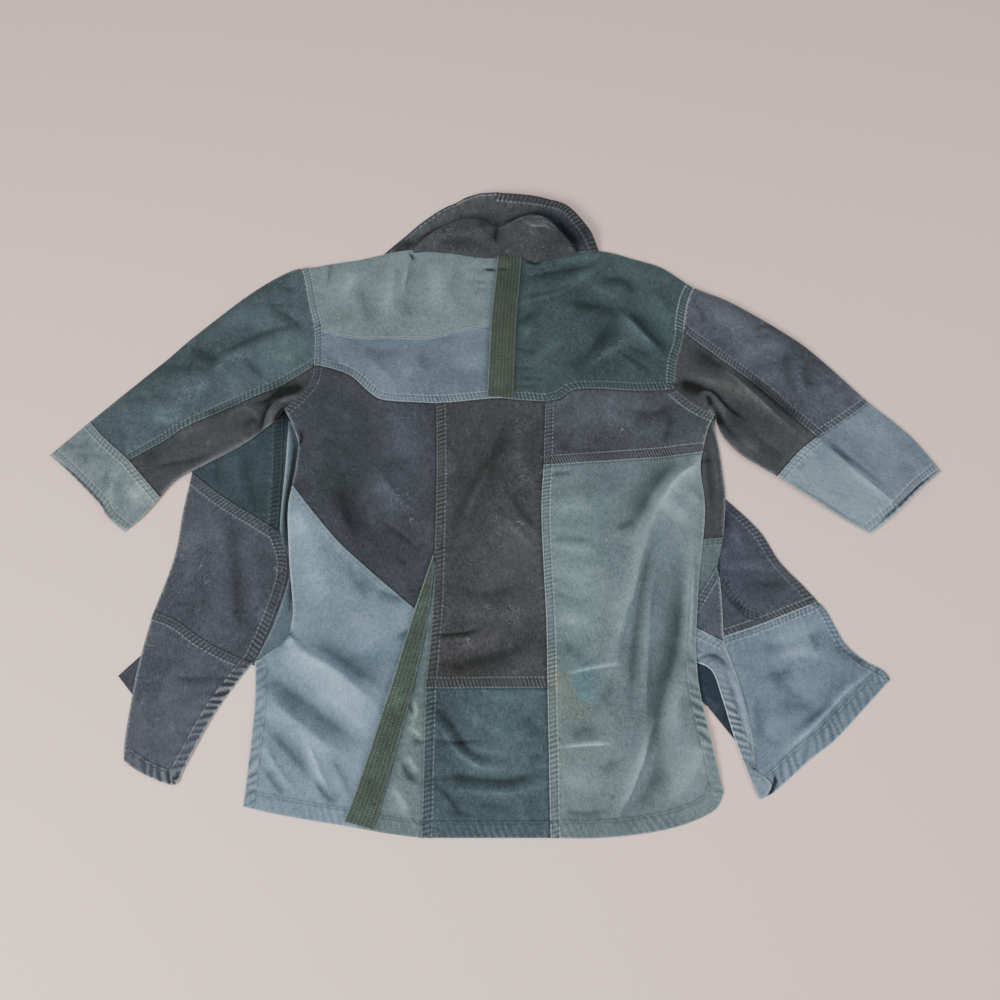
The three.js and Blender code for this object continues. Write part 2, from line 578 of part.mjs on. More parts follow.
// The stand rises from the neck seam, rolls over, and drops again towards the leaf.
function standUnderside(x, y) {
  const rise = 26;
  const along = (y - NECK_Y + 10) / 72;
  const ends = Math.max(0, 1 - (x / 132) ** 4);
  return BACK_REST + COLLAR_CLOTH + rise * Math.sin(Math.PI * THREE.MathUtils.clamp(along, 0, 1)) * ends;
}

const leafCloth = layer([-170, 170, leafFoot, 470], COLLAR_CELL, leafUnderside, COLLAR_CLOTH);
const standCloth = layer([-130, 130, NECK_Y - 8, 425], COLLAR_CELL, standUnderside, CLOTH);
const neckOutline = outline(shoulderLeft, shoulderRight, [[290, 200], [-283, 200]]);
const clearOfYoke = prism(drawnIn(neckOutline, -SEAM_GAP / 2));
const leaf = leafCloth.subtract(clearOfYoke);
const stand = standCloth.subtract(clearOfYoke);
const seamBelow = [collarCentre, leafFoot];
cutPiece('collar_leaf_left', COLOURS.brown, leaf, outline(leafRimLeft, [seamBelow, [-163, leafFoot]]));
cutPiece('collar_leaf_right', COLOURS.brown, leaf, outline(leafRimRight, [[156, leafFoot], seamBelow]));
cutPiece('collar_stand_left', COLOURS.brown, stand, outline(standCrestLeft, [seamBelow, [-122, leafFoot]]));
cutPiece('collar_stand_right', COLOURS.brown, stand, outline(standCrestRight, [[124, leafFoot], seamBelow]));

jacket.position.set(DATUM[0], DATUM[1], 0);

export default jacket;
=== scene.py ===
"""Patched cotton jacket with three-quarter sleeves and side vents, laid flat with its back up.

Lengths in the drafting part are millimetres: +X to the wearer's right, +Y towards the collar and
+Z up from the surface. DATUM takes them to the frame's origin, and meshes are made in metres.
"""

import json
import math

import bpy
import numpy as np
from bpy.props import FloatProperty, FloatVectorProperty, IntProperty, PointerProperty
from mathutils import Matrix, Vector
from mathutils.geometry import delaunay_2d_cdt


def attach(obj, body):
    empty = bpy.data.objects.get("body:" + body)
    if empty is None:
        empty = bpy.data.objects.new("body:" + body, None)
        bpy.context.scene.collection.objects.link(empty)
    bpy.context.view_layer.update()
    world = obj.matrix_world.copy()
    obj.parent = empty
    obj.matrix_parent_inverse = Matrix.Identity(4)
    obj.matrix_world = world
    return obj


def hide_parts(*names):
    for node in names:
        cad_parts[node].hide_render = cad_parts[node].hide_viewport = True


bl_info = {
    "name": "Patched Jacket",
    "version": (1, 0, 0),
    "blender": (4, 5, 0),
    "location": "View3D > Sidebar > Jacket",
    "description": "Cuts and sews a patched cotton jacket laid flat with its back up",
    "category": "Add Mesh",
}

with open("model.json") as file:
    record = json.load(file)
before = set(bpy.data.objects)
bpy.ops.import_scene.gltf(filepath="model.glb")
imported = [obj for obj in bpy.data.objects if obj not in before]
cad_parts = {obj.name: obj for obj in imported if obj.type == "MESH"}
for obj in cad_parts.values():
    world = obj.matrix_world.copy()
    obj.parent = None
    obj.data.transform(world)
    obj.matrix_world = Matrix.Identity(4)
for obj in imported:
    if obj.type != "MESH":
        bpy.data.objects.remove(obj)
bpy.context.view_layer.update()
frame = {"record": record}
RECORD_COLOURS = {m["slot"]: m["base_color"] for m in frame["record"]["materials"]}

MM = 0.001
DATUM = np.array([0.5, 1.7, 0.0])

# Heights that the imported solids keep.
CLOTH = 1.5
LAYER = 1.8
BACK_REST = 2 * LAYER
LOWEST = CLOTH - 0.2
ROLL = 2.0
HEM_Y = -463
NECK_Y = 352
YOKE_Y = 110
CENTRE_LEFT = -80
CENTRE_RIGHT = 67
CROSS_Y = -286
VENT_Y = -253

# Fineness of the drafting.
EDGE_STEP = 2.2
FOLD_STEP = 8.0
BAND_STEP = 4.0
JOIN = 0.3
ON_LINE = 0.2

# How deep the folds are, how pale their ridges are (wear and painted highlight) and how dark their
# troughs are (painted shade), against what their lists say, and how far an edge that turns over has worn.
FOLD_DEPTH = 1.3
RIDGE_WEAR_AND_HIGHLIGHT = 3.3
TROUGH_SHADE = 2.2
EDGE_WEAR = 0.6


# ---------------------------------------------------------------- drafting lines

def evenly(places, step):
    """Points at even spacing along a line of places."""
    runs = np.hypot(*np.diff(places, axis=0).T)
    at = np.concatenate([[0.0], np.cumsum(runs)])
    count = max(1, round(at[-1] / step))
    wanted = np.linspace(0, at[-1], count + 1)
    return np.column_stack([np.interp(wanted, at, axis) for axis in places.T])


def smooth(*places, step=EDGE_STEP):
    """A smooth line through a few places."""
    known = np.array(places, float)
    if len(known) > 2:
        t = np.linspace(0, 1, 24, endpoint=False)[:, None]
        ends = np.vstack([known[:1], known, known[-1:]])
        runs = []
        for a, b, c, d in zip(ends, ends[1:], ends[2:], ends[3:]):
            bend = 2 * a - 5 * b + 4 * c - d
            twist = 3 * b - a - 3 * c + d
            runs.append(b + 0.5 * ((c - a) * t + bend * t**2 + twist * t**3))
        known = np.vstack([*runs, known[-1:]])
    return evenly(known, step)


def rise(value, low, high):
    """A soft step from 0 at low to 1 at high."""
    share = np.clip((value - low) / (high - low), 0, 1)
    return share * share * (3 - 2 * share)


def nearest_on(line, points):
    """Signed distance from a line, its left side positive, the place along it and how far past its ends."""
    start = line[:-1]
    run = np.diff(line, axis=0)
    length = np.hypot(*run.T)
    begins = np.concatenate([[0.0], np.cumsum(length)[:-1]])
    relative = points[:, None] - start
    share = (relative * run).sum(2) / length**2
    held = share.clip(0, 1)
    gap = relative - held[..., None] * run
    distance = (gap**2).sum(2)
    k = distance.argmin(1)
    each = np.arange(len(points))
    cross = run[k, 0] * relative[each, k, 1] - run[k, 1] * relative[each, k, 0]
    along = begins[k] + held[each, k] * length[k]
    past = np.abs(share[each, k] - held[each, k]) * length[k]
    return np.copysign(np.sqrt(distance[each, k]), cross), along, past


def beside(line, side, offset, step):
    """A row of points along one side of a line."""
    row = evenly(line, step)
    heading = np.gradient(row, axis=0)
    heading /= np.hypot(*heading.T)[:, None]
    return row + side * offset * np.column_stack([-heading[:, 1], heading[:, 0]])


def near_box(line, points, margin):
    """Which points are within a margin of a line's box."""
    low = line.min(0) - margin
    high = line.max(0) + margin
    return ((points > low) & (points < high)).all(1)


def distance_to(lines, points, step=FOLD_STEP):
    """Distance to the nearest of several lines, drawn coarsely unless they are to keep their own points."""
    drawn = [evenly(line, step) if step else line for line in lines]
    return np.min([np.abs(nearest_on(line, points)[0]) for line in drawn], axis=0)


# ---------------------------------------------------------------- places and seams

LEFT_SHOULDER = (-283, 329)
LEFT_YOKE_SPLIT = (-257, 230)
LEFT_YOKE_CORNER = (-253, 167)
LEFT_UNDERARM = (-290, 99)
RIGHT_SHOULDER = (290, 296)
RIGHT_SLEEVE_SEAM = (270, 222)
RIGHT_YOKE_CORNER = (250, 130)
RIGHT_UNDERARM = (304, 91)
NECK_CENTRE = (22, NECK_Y)
YOKE_CENTRE = (9, YOKE_Y + 6)
YOKE_SPLIT_CENTRE = (13, 238)
CENTRE_LEFT_TOP = (CENTRE_LEFT, YOKE_Y - 2)
CENTRE_RIGHT_TOP = (CENTRE_RIGHT + 4, YOKE_Y)
CENTRE_LEFT_CROSS = (CENTRE_LEFT - 4, CROSS_Y - 1)
CENTRE_RIGHT_CROSS = (CENTRE_RIGHT, CROSS_Y)
CENTRE_LEFT_HEM = (CENTRE_LEFT - 5, HEM_Y)
CENTRE_RIGHT_HEM = (CENTRE_RIGHT + 1, HEM_Y)
TAPE_TOP = (-77, -104)
TAPE_AT_DIAGONAL = (-93, -190)
TAPE_HEM = (-160, HEM_Y + 11)
LEFT_DIAGONAL_EDGE = (-271, -13)
RIGHT_CROSS_EDGE = (284, 35)
RIGHT_CROSS_CENTRE = (CENTRE_RIGHT, 13)
LEFT_HEM_CORNER = (-300, -427)
RIGHT_HEM_CORNER = (277, -410)
LEFT_VENT_TOP = (-300, VENT_Y)
RIGHT_VENT_TOP = (255, VENT_Y)

shoulder_left = smooth(
    LEFT_SHOULDER, (-241, 339), (-198, 347), (-131, 363), (-66, 361), (-20, NECK_Y), NECK_CENTRE)
shoulder_right = smooth(
    NECK_CENTRE, (52, 349), (85, 352), (151, 363), (214, 345), (250, 330), RIGHT_SHOULDER)
armhole_left_top = smooth(LEFT_SHOULDER, (-276, 308), (-268, 272), LEFT_YOKE_SPLIT)
armhole_left_middle = smooth(LEFT_YOKE_SPLIT, (-254, 200), LEFT_YOKE_CORNER)
armhole_left_low = smooth(LEFT_YOKE_CORNER, (-255, 144), (-266, 125), LEFT_UNDERARM)
armhole_right_top = smooth(RIGHT_SHOULDER, (280, 274), (273, 245), RIGHT_SLEEVE_SEAM)
armhole_right_middle = smooth(RIGHT_SLEEVE_SEAM, (265, 200), (256, 172), RIGHT_YOKE_CORNER)
armhole_right_low = smooth(RIGHT_YOKE_CORNER, (264, 116), (284, 101), RIGHT_UNDERARM)
yoke_seam_left = smooth(
    LEFT_YOKE_CORNER, (-231, 164), (-202, 152), (-173, 125), (-150, 113), CENTRE_LEFT_TOP)
yoke_seam_centre_left = smooth(CENTRE_LEFT_TOP, (-54, 110), (-20, 114), YOKE_CENTRE)
yoke_seam_centre_right = smooth(YOKE_CENTRE, (36, 113), CENTRE_RIGHT_TOP)
yoke_seam_right = smooth(
    CENTRE_RIGHT_TOP, (91, 116), (108, 128), (133, 131), (203, 128), RIGHT_YOKE_CORNER)
yoke_split = smooth(
    LEFT_YOKE_SPLIT, (-206, 216), (-150, 214), (-92, 214), (-50, 225), YOKE_SPLIT_CENTRE)
yoke_centre_top = smooth(NECK_CENTRE, (19, 300), YOKE_SPLIT_CENTRE)
yoke_centre_low = smooth(YOKE_SPLIT_CENTRE, (11, 175), YOKE_CENTRE)
centre_left_upper = smooth(CENTRE_LEFT_TOP, (-77, 0), TAPE_TOP)
centre_left_middle = smooth(TAPE_TOP, (-78, -190), CENTRE_LEFT_CROSS)
centre_left_low = smooth(CENTRE_LEFT_CROSS, CENTRE_LEFT_HEM)
centre_right_upper = smooth(CENTRE_RIGHT_TOP, RIGHT_CROSS_CENTRE)
centre_right_middle = smooth(RIGHT_CROSS_CENTRE, (63, -60), (67, -200), CENTRE_RIGHT_CROSS)
centre_right_low = smooth(CENTRE_RIGHT_CROSS, CENTRE_RIGHT_HEM)
cross_seam = smooth(CENTRE_LEFT_CROSS, CENTRE_RIGHT_CROSS)
right_cross_seam = smooth(RIGHT_CROSS_CENTRE, (110, 17), (211, 25), RIGHT_CROSS_EDGE)
left_diagonal = smooth(
    LEFT_DIAGONAL_EDGE, (-244, -48), (-202, -97), (-161, -134), (-110, -178), TAPE_AT_DIAGONAL)
tape_upper = smooth(TAPE_TOP, (-83, -150), TAPE_AT_DIAGONAL)
tape_lower = smooth(TAPE_AT_DIAGONAL, (-103, -239), (-116, -295), (-140, -386), TAPE_HEM)
left_side_upper = smooth(LEFT_UNDERARM, (-279, 78), (-268, 50), (-268, 20), LEFT_DIAGONAL_EDGE)
left_side_lower = smooth(LEFT_DIAGONAL_EDGE, (-274, -50), (-267, -120), (-257, -190), (-262, -226))
left_vent = smooth(LEFT_VENT_TOP, (-296, -320), LEFT_HEM_CORNER)
right_side_upper = smooth(RIGHT_UNDERARM, (293, 67), RIGHT_CROSS_EDGE)
right_side_lower = smooth(
    RIGHT_CROSS_EDGE, (279, 10), (281, -50), (266, -147), (257, -220), RIGHT_VENT_TOP)
right_vent = smooth(RIGHT_VENT_TOP, (258, -300), RIGHT_HEM_CORNER)
hem_left = smooth(LEFT_HEM_CORNER, (-254, -437), TAPE_HEM)
hem_tape = smooth(TAPE_HEM, (-125, HEM_Y + 5), CENTRE_LEFT_HEM)
hem_centre = smooth(CENTRE_LEFT_HEM, CENTRE_RIGHT_HEM)
hem_right = smooth(
    CENTRE_RIGHT_HEM, (126, -463), (186, -457), (230, -447), (265, -431), RIGHT_HEM_CORNER)

yoke_tape_left = smooth((4, NECK_Y - 2), (1, 307), (-5, 240), (-10, YOKE_Y + 8))
yoke_tape_right = smooth((27, YOKE_Y + 6), (32, 240), (37, 307), (40, NECK_Y - 2))
back_tape_left = smooth((-79, -112), (-105, -200), (-131, -295), (-158, -386), (-178, -444))
back_tape_right = smooth((-141, -453), (-122, -380), (-100, -289), (-84, -200), (-77, -125))

# Fronts, spread out on the surface below the arms.
right_under_side = smooth((298, -20), (296, -120), (281, -224))
right_under_facing = smooth((281, -224), (285, -262), (297, -310), (307, -350), (314, -386))
right_front_seam = smooth((281, -224), (336, -206), (380, -189), (418, -174))
right_front_edge_top = smooth(
    (298, -20), (313, -34), (352, -77), (374, -119), (403, -154), (418, -174))
right_front_edge_low = smooth(
    (418, -174), (428, -186), (445, -226), (467, -249), (490, -263), (497, -275))
right_front_hem = smooth(
    (497, -275), (471, -300), (420, -348), (384, -374), (339, -410), (321, -418))
right_front_tuck = smooth((292, -146), (316, -186), (337, -197))

LEFT_FRONT_TOP = (-409, 5)
LEFT_FRONT_MIDDLE = (-437, -188)
LEFT_FRONT_VENT_TOP = (-304, VENT_Y - 1)
LEFT_FRONT_SEAM_END = (-287, -77)
left_front_seam = smooth(LEFT_FRONT_TOP, (-366, -28), (-313, -61), LEFT_FRONT_SEAM_END)
left_front_low_seam = smooth(
    LEFT_FRONT_MIDDLE, (-406, -200), (-374, -222), (-338, -241), LEFT_FRONT_VENT_TOP)
left_front_fold = smooth(LEFT_FRONT_TOP, (-415, -50), (-419, -115), LEFT_FRONT_MIDDLE)
left_front_fold_low = smooth(LEFT_FRONT_MIDDLE, (-447, -255), (-452, -340), (-450, -374))
left_front_hem = smooth((-450, -374), (-426, -389), (-386, -403), (-378, -391))
left_front_vent = smooth((-378, -391), (-344, -316), LEFT_FRONT_VENT_TOP)
left_front_side = smooth(
    LEFT_FRONT_SEAM_END, (-273, -110), (-271, -145), (-286, -204), LEFT_FRONT_VENT_TOP)
left_front_upper_side = smooth(LEFT_FRONT_SEAM_END, (-288, 0), (-292, 90))
left_front_tucked = smooth((-273, -68), (-262, -105), (-259, -145), (-272, -204), (-299, -245))
left_front_upper_tucked = smooth((-273, -68), (-274, 0), (-276, 60), (-274, 118))

# Folded side panels.
left_side_fold = smooth(
    (-284, 84), (-283, 20), (-283, -76), (-269, -115), (-267, -146), (-281, -204), (-298, -246))
right_side_fold = smooth((307, 98), (303, 74), (307, 44), (309, 10), (310, -32), (303, -87))
right_side_seam = smooth((262, -90), (303, -87))
right_side_diagonal = smooth((291, -128), (252, -187))
right_side_low_seam = smooth((248, -204), (292, -227))
right_side_low_fold = smooth((292, -227), (294, -158), (291, -128))
facing_fold = smooth((292, -227), (305, -272), (312, -305), (317, -345), (318, -386))
facing_edge = smooth((311, -400), (296, -350), (284, -298), (274, -264), RIGHT_VENT_TOP)
facing_corner = smooth((318, -386), (335, -402), (321, -419), (311, -400))

# Sleeves.
LEFT_CUFF_TOP = (-559, 82)
LEFT_CUFF_MIDDLE = (-495, 22)
LEFT_CUFF_UNDER = (-447, -31)
LEFT_CUFF_TIP = (-606, 32)
LEFT_CUFF_HEEL = (-488, -79)
RIGHT_CUFF_TOP = (521, 112)
RIGHT_CUFF_MIDDLE = (441, 56)
RIGHT_CUFF_UNDER = (382, -1)
RIGHT_CUFF_TIP = (605, 7)
RIGHT_CUFF_HEEL = (499, -82)
RIGHT_CUFF_FOLD_END = (540, -50)
left_sleeve_seam = smooth(
    LEFT_YOKE_CORNER, (-301, 134), (-353, 108), (-406, 80), (-457, 47), LEFT_CUFF_MIDDLE)
left_cuff_seam_top = smooth(LEFT_CUFF_MIDDLE, (-532, 54), LEFT_CUFF_TOP)
left_cuff_seam_low = smooth(LEFT_CUFF_MIDDLE, (-477, 2), LEFT_CUFF_UNDER)
left_sleeve_top_fold = smooth(LEFT_SHOULDER, (-310, 319), (-367, 275), (-473, 170), LEFT_CUFF_TOP)
left_sleeve_low_fold = smooth(LEFT_UNDERARM, (-304, 80), (-348, 42), (-423, -3), LEFT_CUFF_UNDER)
left_cuff_top_fold = smooth(LEFT_CUFF_TOP, LEFT_CUFF_TIP)
left_cuff_low_fold = smooth(LEFT_CUFF_UNDER, (-466, -58), LEFT_CUFF_HEEL)
left_cuff_hem = smooth(LEFT_CUFF_TIP, (-573, 4), (-527, -40), (-512, -60), LEFT_CUFF_HEEL)
right_sleeve_seam = smooth(
    RIGHT_SLEEVE_SEAM, (318, 178), (369, 134), (419, 80), RIGHT_CUFF_MIDDLE)
right_cuff_seam_top = smooth(RIGHT_CUFF_MIDDLE, (490, 88), RIGHT_CUFF_TOP)
right_cuff_seam_low = smooth(RIGHT_CUFF_MIDDLE, (412, 32), RIGHT_CUFF_UNDER)
right_cuff_fold = smooth(RIGHT_CUFF_MIDDLE, (480, 18), (524, -28), RIGHT_CUFF_FOLD_END)
right_sleeve_top_fold = smooth(
    RIGHT_SHOULDER, (340, 273), (407, 227), (461, 181), RIGHT_CUFF_TOP)
right_sleeve_low_fold = smooth(
    RIGHT_UNDERARM, (311, 62), (333, 33), (364, 11), RIGHT_CUFF_UNDER)
right_cuff_top_fold = smooth(RIGHT_CUFF_TOP, (568, 65), (595, 26), RIGHT_CUFF_TIP)
right_cuff_low_fold = smooth(RIGHT_CUFF_UNDER, (461, -59), RIGHT_CUFF_HEEL)
right_cuff_hem = smooth(RIGHT_CUFF_TIP, (572, -19), RIGHT_CUFF_FOLD_END)
right_cuff_fold_hem = smooth(RIGHT_CUFF_FOLD_END, (523, -64), RIGHT_CUFF_HEEL)

# Collar.
COLLAR_CENTRE = 3
LEAF_FOOT = 344
leaf_rim_left = smooth(
    (-166, 356), (-135, 388), (-94, 427), (-52, 451), (-28, 459), (COLLAR_CENTRE, 460))
leaf_rim_right = smooth(
    (COLLAR_CENTRE, 460), (43, 455), (80, 447), (110, 434), (138, 398), (156, 359), (159, 351))
stand_crest_left = smooth(
    (-122, 362), (-100, 382), (-68, 401), (-34, 411), (COLLAR_CENTRE, 401))
stand_crest_right = smooth(
    (COLLAR_CENTRE, 401), (24, 406), (52, 418), (78, 412), (100, 390), (124, 358))


# ---------------------------------------------------------------- layers of cloth

class Fold:
    """A soft ridge, or a trough where its height is negative, with its tone: painted shade in a trough, and
    painted highlight together with wear on a ridge.

    A ridge is steep on its lower right side and a trough on its upper left, unless the width is negative.
    """

    def __init__(self, height, width, tone, *places):
        self.height = height
        self.width = abs(width)
        self.shade = tone * (RIDGE_WEAR_AND_HIGHLIGHT if tone > 0 else TROUGH_SHADE)
        self.line = smooth(*places, step=FOLD_STEP if len(places) > 2 else 30)
        far = 3.2
        self.reach = far * self.width
        left_is_upper = math.copysign(1, (self.line[-1] - self.line[0]).sum())
        self.steep = left_is_upper * (-1 if tone > 0 else 1) * math.copysign(1, width)

    def at(self, points):
        distance, along, _ = nearest_on(self.line, points)
        total = np.hypot(*np.diff(self.line, axis=0).T).sum()
        share = along / total
        least, end = 0.25, 0.3
        taper = least + (1 - least) * rise(share, 0, end) * rise(1 - share, 0, end)
        steep, gentle, bluntness = 0.5, 1.35, 1.6
        reach = self.width * np.where(distance * self.steep > 0, steep, gentle)
        return taper * np.exp(-np.abs(distance / reach) ** bluntness)


class TintPatch:
    """A soft-edged patch of another colour along a line of places. Most are stained patches; some are painted
    shadows and painted highlights.
    """

    def __init__(self, tint, strength, width, *places):
        self.tint = np.array(tint)
        self.strength = strength
        self.width = width
        self.line = smooth(*places, step=FOLD_STEP)
        far = 2.6
        self.reach = far * width

    def at(self, points):
        distance, _, _ = nearest_on(self.line, points)
        bluntness = 2.2
        return self.strength * np.exp(-np.abs(distance / self.width) ** bluntness)


class Band:
    """A felled seam or a hem: a raised, puckered strip on one side of a line, with its stitch rows. Its
    crests pale with wear and painted highlight, and painted shade darkens its pucker troughs and stitch
    grooves.

    A ditch darkened with painted shadow runs beside the line, or beside the strip's other edge where its
    strength is negative.
    """

    def __init__(self, line, side, width=11, period=5.3, pucker=0.42, pale=0.6, raised=0.7, rows=None,
                 tone=-0.06, ditch=1.0):
        self.line = evenly(line, BAND_STEP)
        self.edge = line
        self.side = side
        self.width = width
        self.period = period
        self.pucker = pucker
        self.pale = pale
        self.raised = raised
        self.rows = (1.8, width - 1.8) if rows is None else rows
        self.tone = tone
        self.ditch = ditch
        self.reach = width + 26
        self.phase = float(line[0].sum() % 7)

    def across(self, points):
        distance, along, past = nearest_on(self.line, points)
        return distance * self.side, along, past

    def at(self, points):
        d, s, past = self.across(points)
        keep = np.exp(-((past / 2.5) ** 2))
        middle = self.width / 2
        on_band = rise(d, -0.4, 1.1) * (1 - rise(d, self.width - 0.4, self.width + 1.4))
        drift = 1.3 * np.sin(s / (self.period * 2.9) + self.phase)
        long = rise(self.period, 7, 10)
        turn = 2 * math.pi * (s + (0.3 + 0.3 * long) * d) / self.period + drift * (1 + 0.8 * long)
        turn += long * (1.2 * np.sin(s / 5.7 + 3 * self.phase) + 1.3 * np.sin(s / 13.3 + self.phase))
        lively = 0.66 + 0.34 * np.sin(s / 19 + 2 * self.phase)
        lively = lively * (1 - 0.6 * long * rise(np.sin(s / 23 + self.phase), -0.3, 1))
        reach = np.exp(-np.abs((d - middle) / (0.66 * self.width)) ** 4)
        wave = np.sin(turn)
        away = np.maximum(np.abs(d - middle) - middle, 0)
        slow = np.sin(2 * math.pi * s / (self.period * 1.9) + self.phase + 0.1 * d)
        height = self.raised * on_band + self.pucker * wave * reach * lively
        height = height + 0.55 * self.pucker * slow * np.exp(-away / 9) * (away > 0)
        # Painted shade in the troughs of the puckers, and painted highlight with wear on their crests.
        dark = rise(-wave, 0.15 + 0.25 * long, 0.95 + 0.05 * long) * lively * (1 + long)
        light = rise(wave, 0.0, 0.9) * lively
        ticks = min(self.pucker / 0.35, 1.5)
        wear_and_shade = on_band * (self.pale * (0.05 + 0.4 * ticks * light) - 0.42 * ticks * dark)
        # Each stitch row sinks into a groove that painted shade darkens.
        for row in self.rows:
            groove = np.exp(-(((d - row) / 0.75) ** 2))
            height = height - 0.34 * groove
            wear_and_shade = wear_and_shade - 0.3 * groove
        # Both edges of the strip are pale with wear and painted highlight, and the ditch is darkened with
        # painted shadow.
        near_crest = np.exp(-(((d - 0.5) / 0.75) ** 2))
        far_crest = np.exp(-(((d - self.width + 0.3) / 0.9) ** 2))
        ditch_at = self.width + 1 if self.ditch < 0 else -1.1
        ditch = np.exp(-((d - ditch_at) ** 2)) * abs(self.ditch)
        wear_and_shade = wear_and_shade + self.pale * (1.1 * near_crest + 0.75 * far_crest) - 0.9 * ditch
        height = height - 0.4 * ditch
        # Beside the strip its ripples get painted shade and highlight.
        tone = self.tone * on_band + 0.1 * ticks * slow * np.exp(-away / 8) * (away > 0)
        return height * keep, wear_and_shade * keep, tone * keep


def unevenness(points, seed, size):
    """Gentle waves in every direction, from a sum of sines."""
    random = np.random.default_rng(seed)
    total = np.zeros(len(points))
    count = 9
    for _ in range(count):
        angle = random.uniform(0, math.pi)
        wave = 2 * math.pi / (size * random.uniform(0.7, 1.6))
        heading = np.array([math.cos(angle), math.sin(angle)]) * wave
        total += np.sin(points @ heading + random.uniform(0, 6.3))
    return total / math.sqrt(count)


def level(height):
    """A height that is the same everywhere, as a function of points."""
    return lambda points: np.full(len(points), height)


class Layer:
    """A layer of cloth: its height, its folds with their painted shade and highlights, its seams and hems,
    its stained patches and painted shadows and highlights, and its turned edges.
    """

    def __init__(self, base, folds=(), bands=(), tint_patches=(), edges=(), seed=1, uneven=0.5, least=None):
        self.base = base
        self.least = least or level(LOWEST)
        self.folds = [Fold(*fold) for fold in folds]
        self.bands = list(bands)
        self.tint_patches = [TintPatch(*tint_patch) for tint_patch in tint_patches]
        self.edges = list(edges)
        self.seed = seed
        self.uneven = uneven

    def form(self, points):
        """Height of the upper face without its seams, and the tone of its folds with their painted shade and
        highlights.
        """
        z = self.base(points).astype(float)
        tone = np.zeros(len(points))
        for fold in self.folds:
            near = near_box(fold.line, points, fold.reach)
            if near.any():
                share = fold.at(points[near])
                z[near] += FOLD_DEPTH * fold.height * share
                tone[near] += fold.shade * share
        broad, fine = 62, 21
        z += self.uneven * unevenness(points, self.seed, broad)
        z += 0.36 * self.uneven * unevenness(points, self.seed + 50, fine)
        return z, tone

    def look(self, points):
        """Height of the upper face, its colour multiplier with painted shade and highlights, and its wear
        with the painted shade and highlights of its seams.
        """
        z, tone = self.form(points)
        wear_and_shade = np.zeros(len(points))
        for band in self.bands:
            near = near_box(band.line, points, band.reach)
            if near.any():
                height, worn_and_shaded, shade = band.at(points[near])
                z[near] += height
                wear_and_shade[near] += worn_and_shaded
                tone[near] += shade
        for line, reach, drop in self.edges:
            near = near_box(line, points, reach)
            if near.any():
                away = np.abs(nearest_on(evenly(line, FOLD_STEP / 2), points[near])[0])
                z[near] -= drop * rolled(away, reach)
                wear_and_shade[near] += EDGE_WEAR * np.exp(-((away / 1.5) ** 2))
        z = kept_above(z, self.least(points))
        colour = np.repeat(np.clip(1 + tone, 0.12, 2.4)[:, None], 3, axis=1)
        for tint_patch in self.tint_patches:
            near = near_box(tint_patch.line, points, tint_patch.reach)
            if near.any():
                share = tint_patch.at(points[near])[:, None]
                colour[near] *= 1 + (tint_patch.tint - 1) * share
        return z, colour, wear_and_shade


def kept_above(z, least):
    """Heights that settle softly onto the least that they may be."""
    spare = z - least
    return least + 0.5 * (spare + np.sqrt(spare**2 + 0.35))


def rolled(away, reach):
    """How far down an edge is that turns over within a reach: 1 at the edge and 0 past it."""
    share = np.clip(away / reach, 0, 1)
    return 1 - np.sqrt(1 - (1 - share) ** 2)


def stronger(folds, factor):
    """The same folds with more contrast between their ridges and troughs."""
    return [(height, width, tone * factor, *places) for height, width, tone, *places in folds]


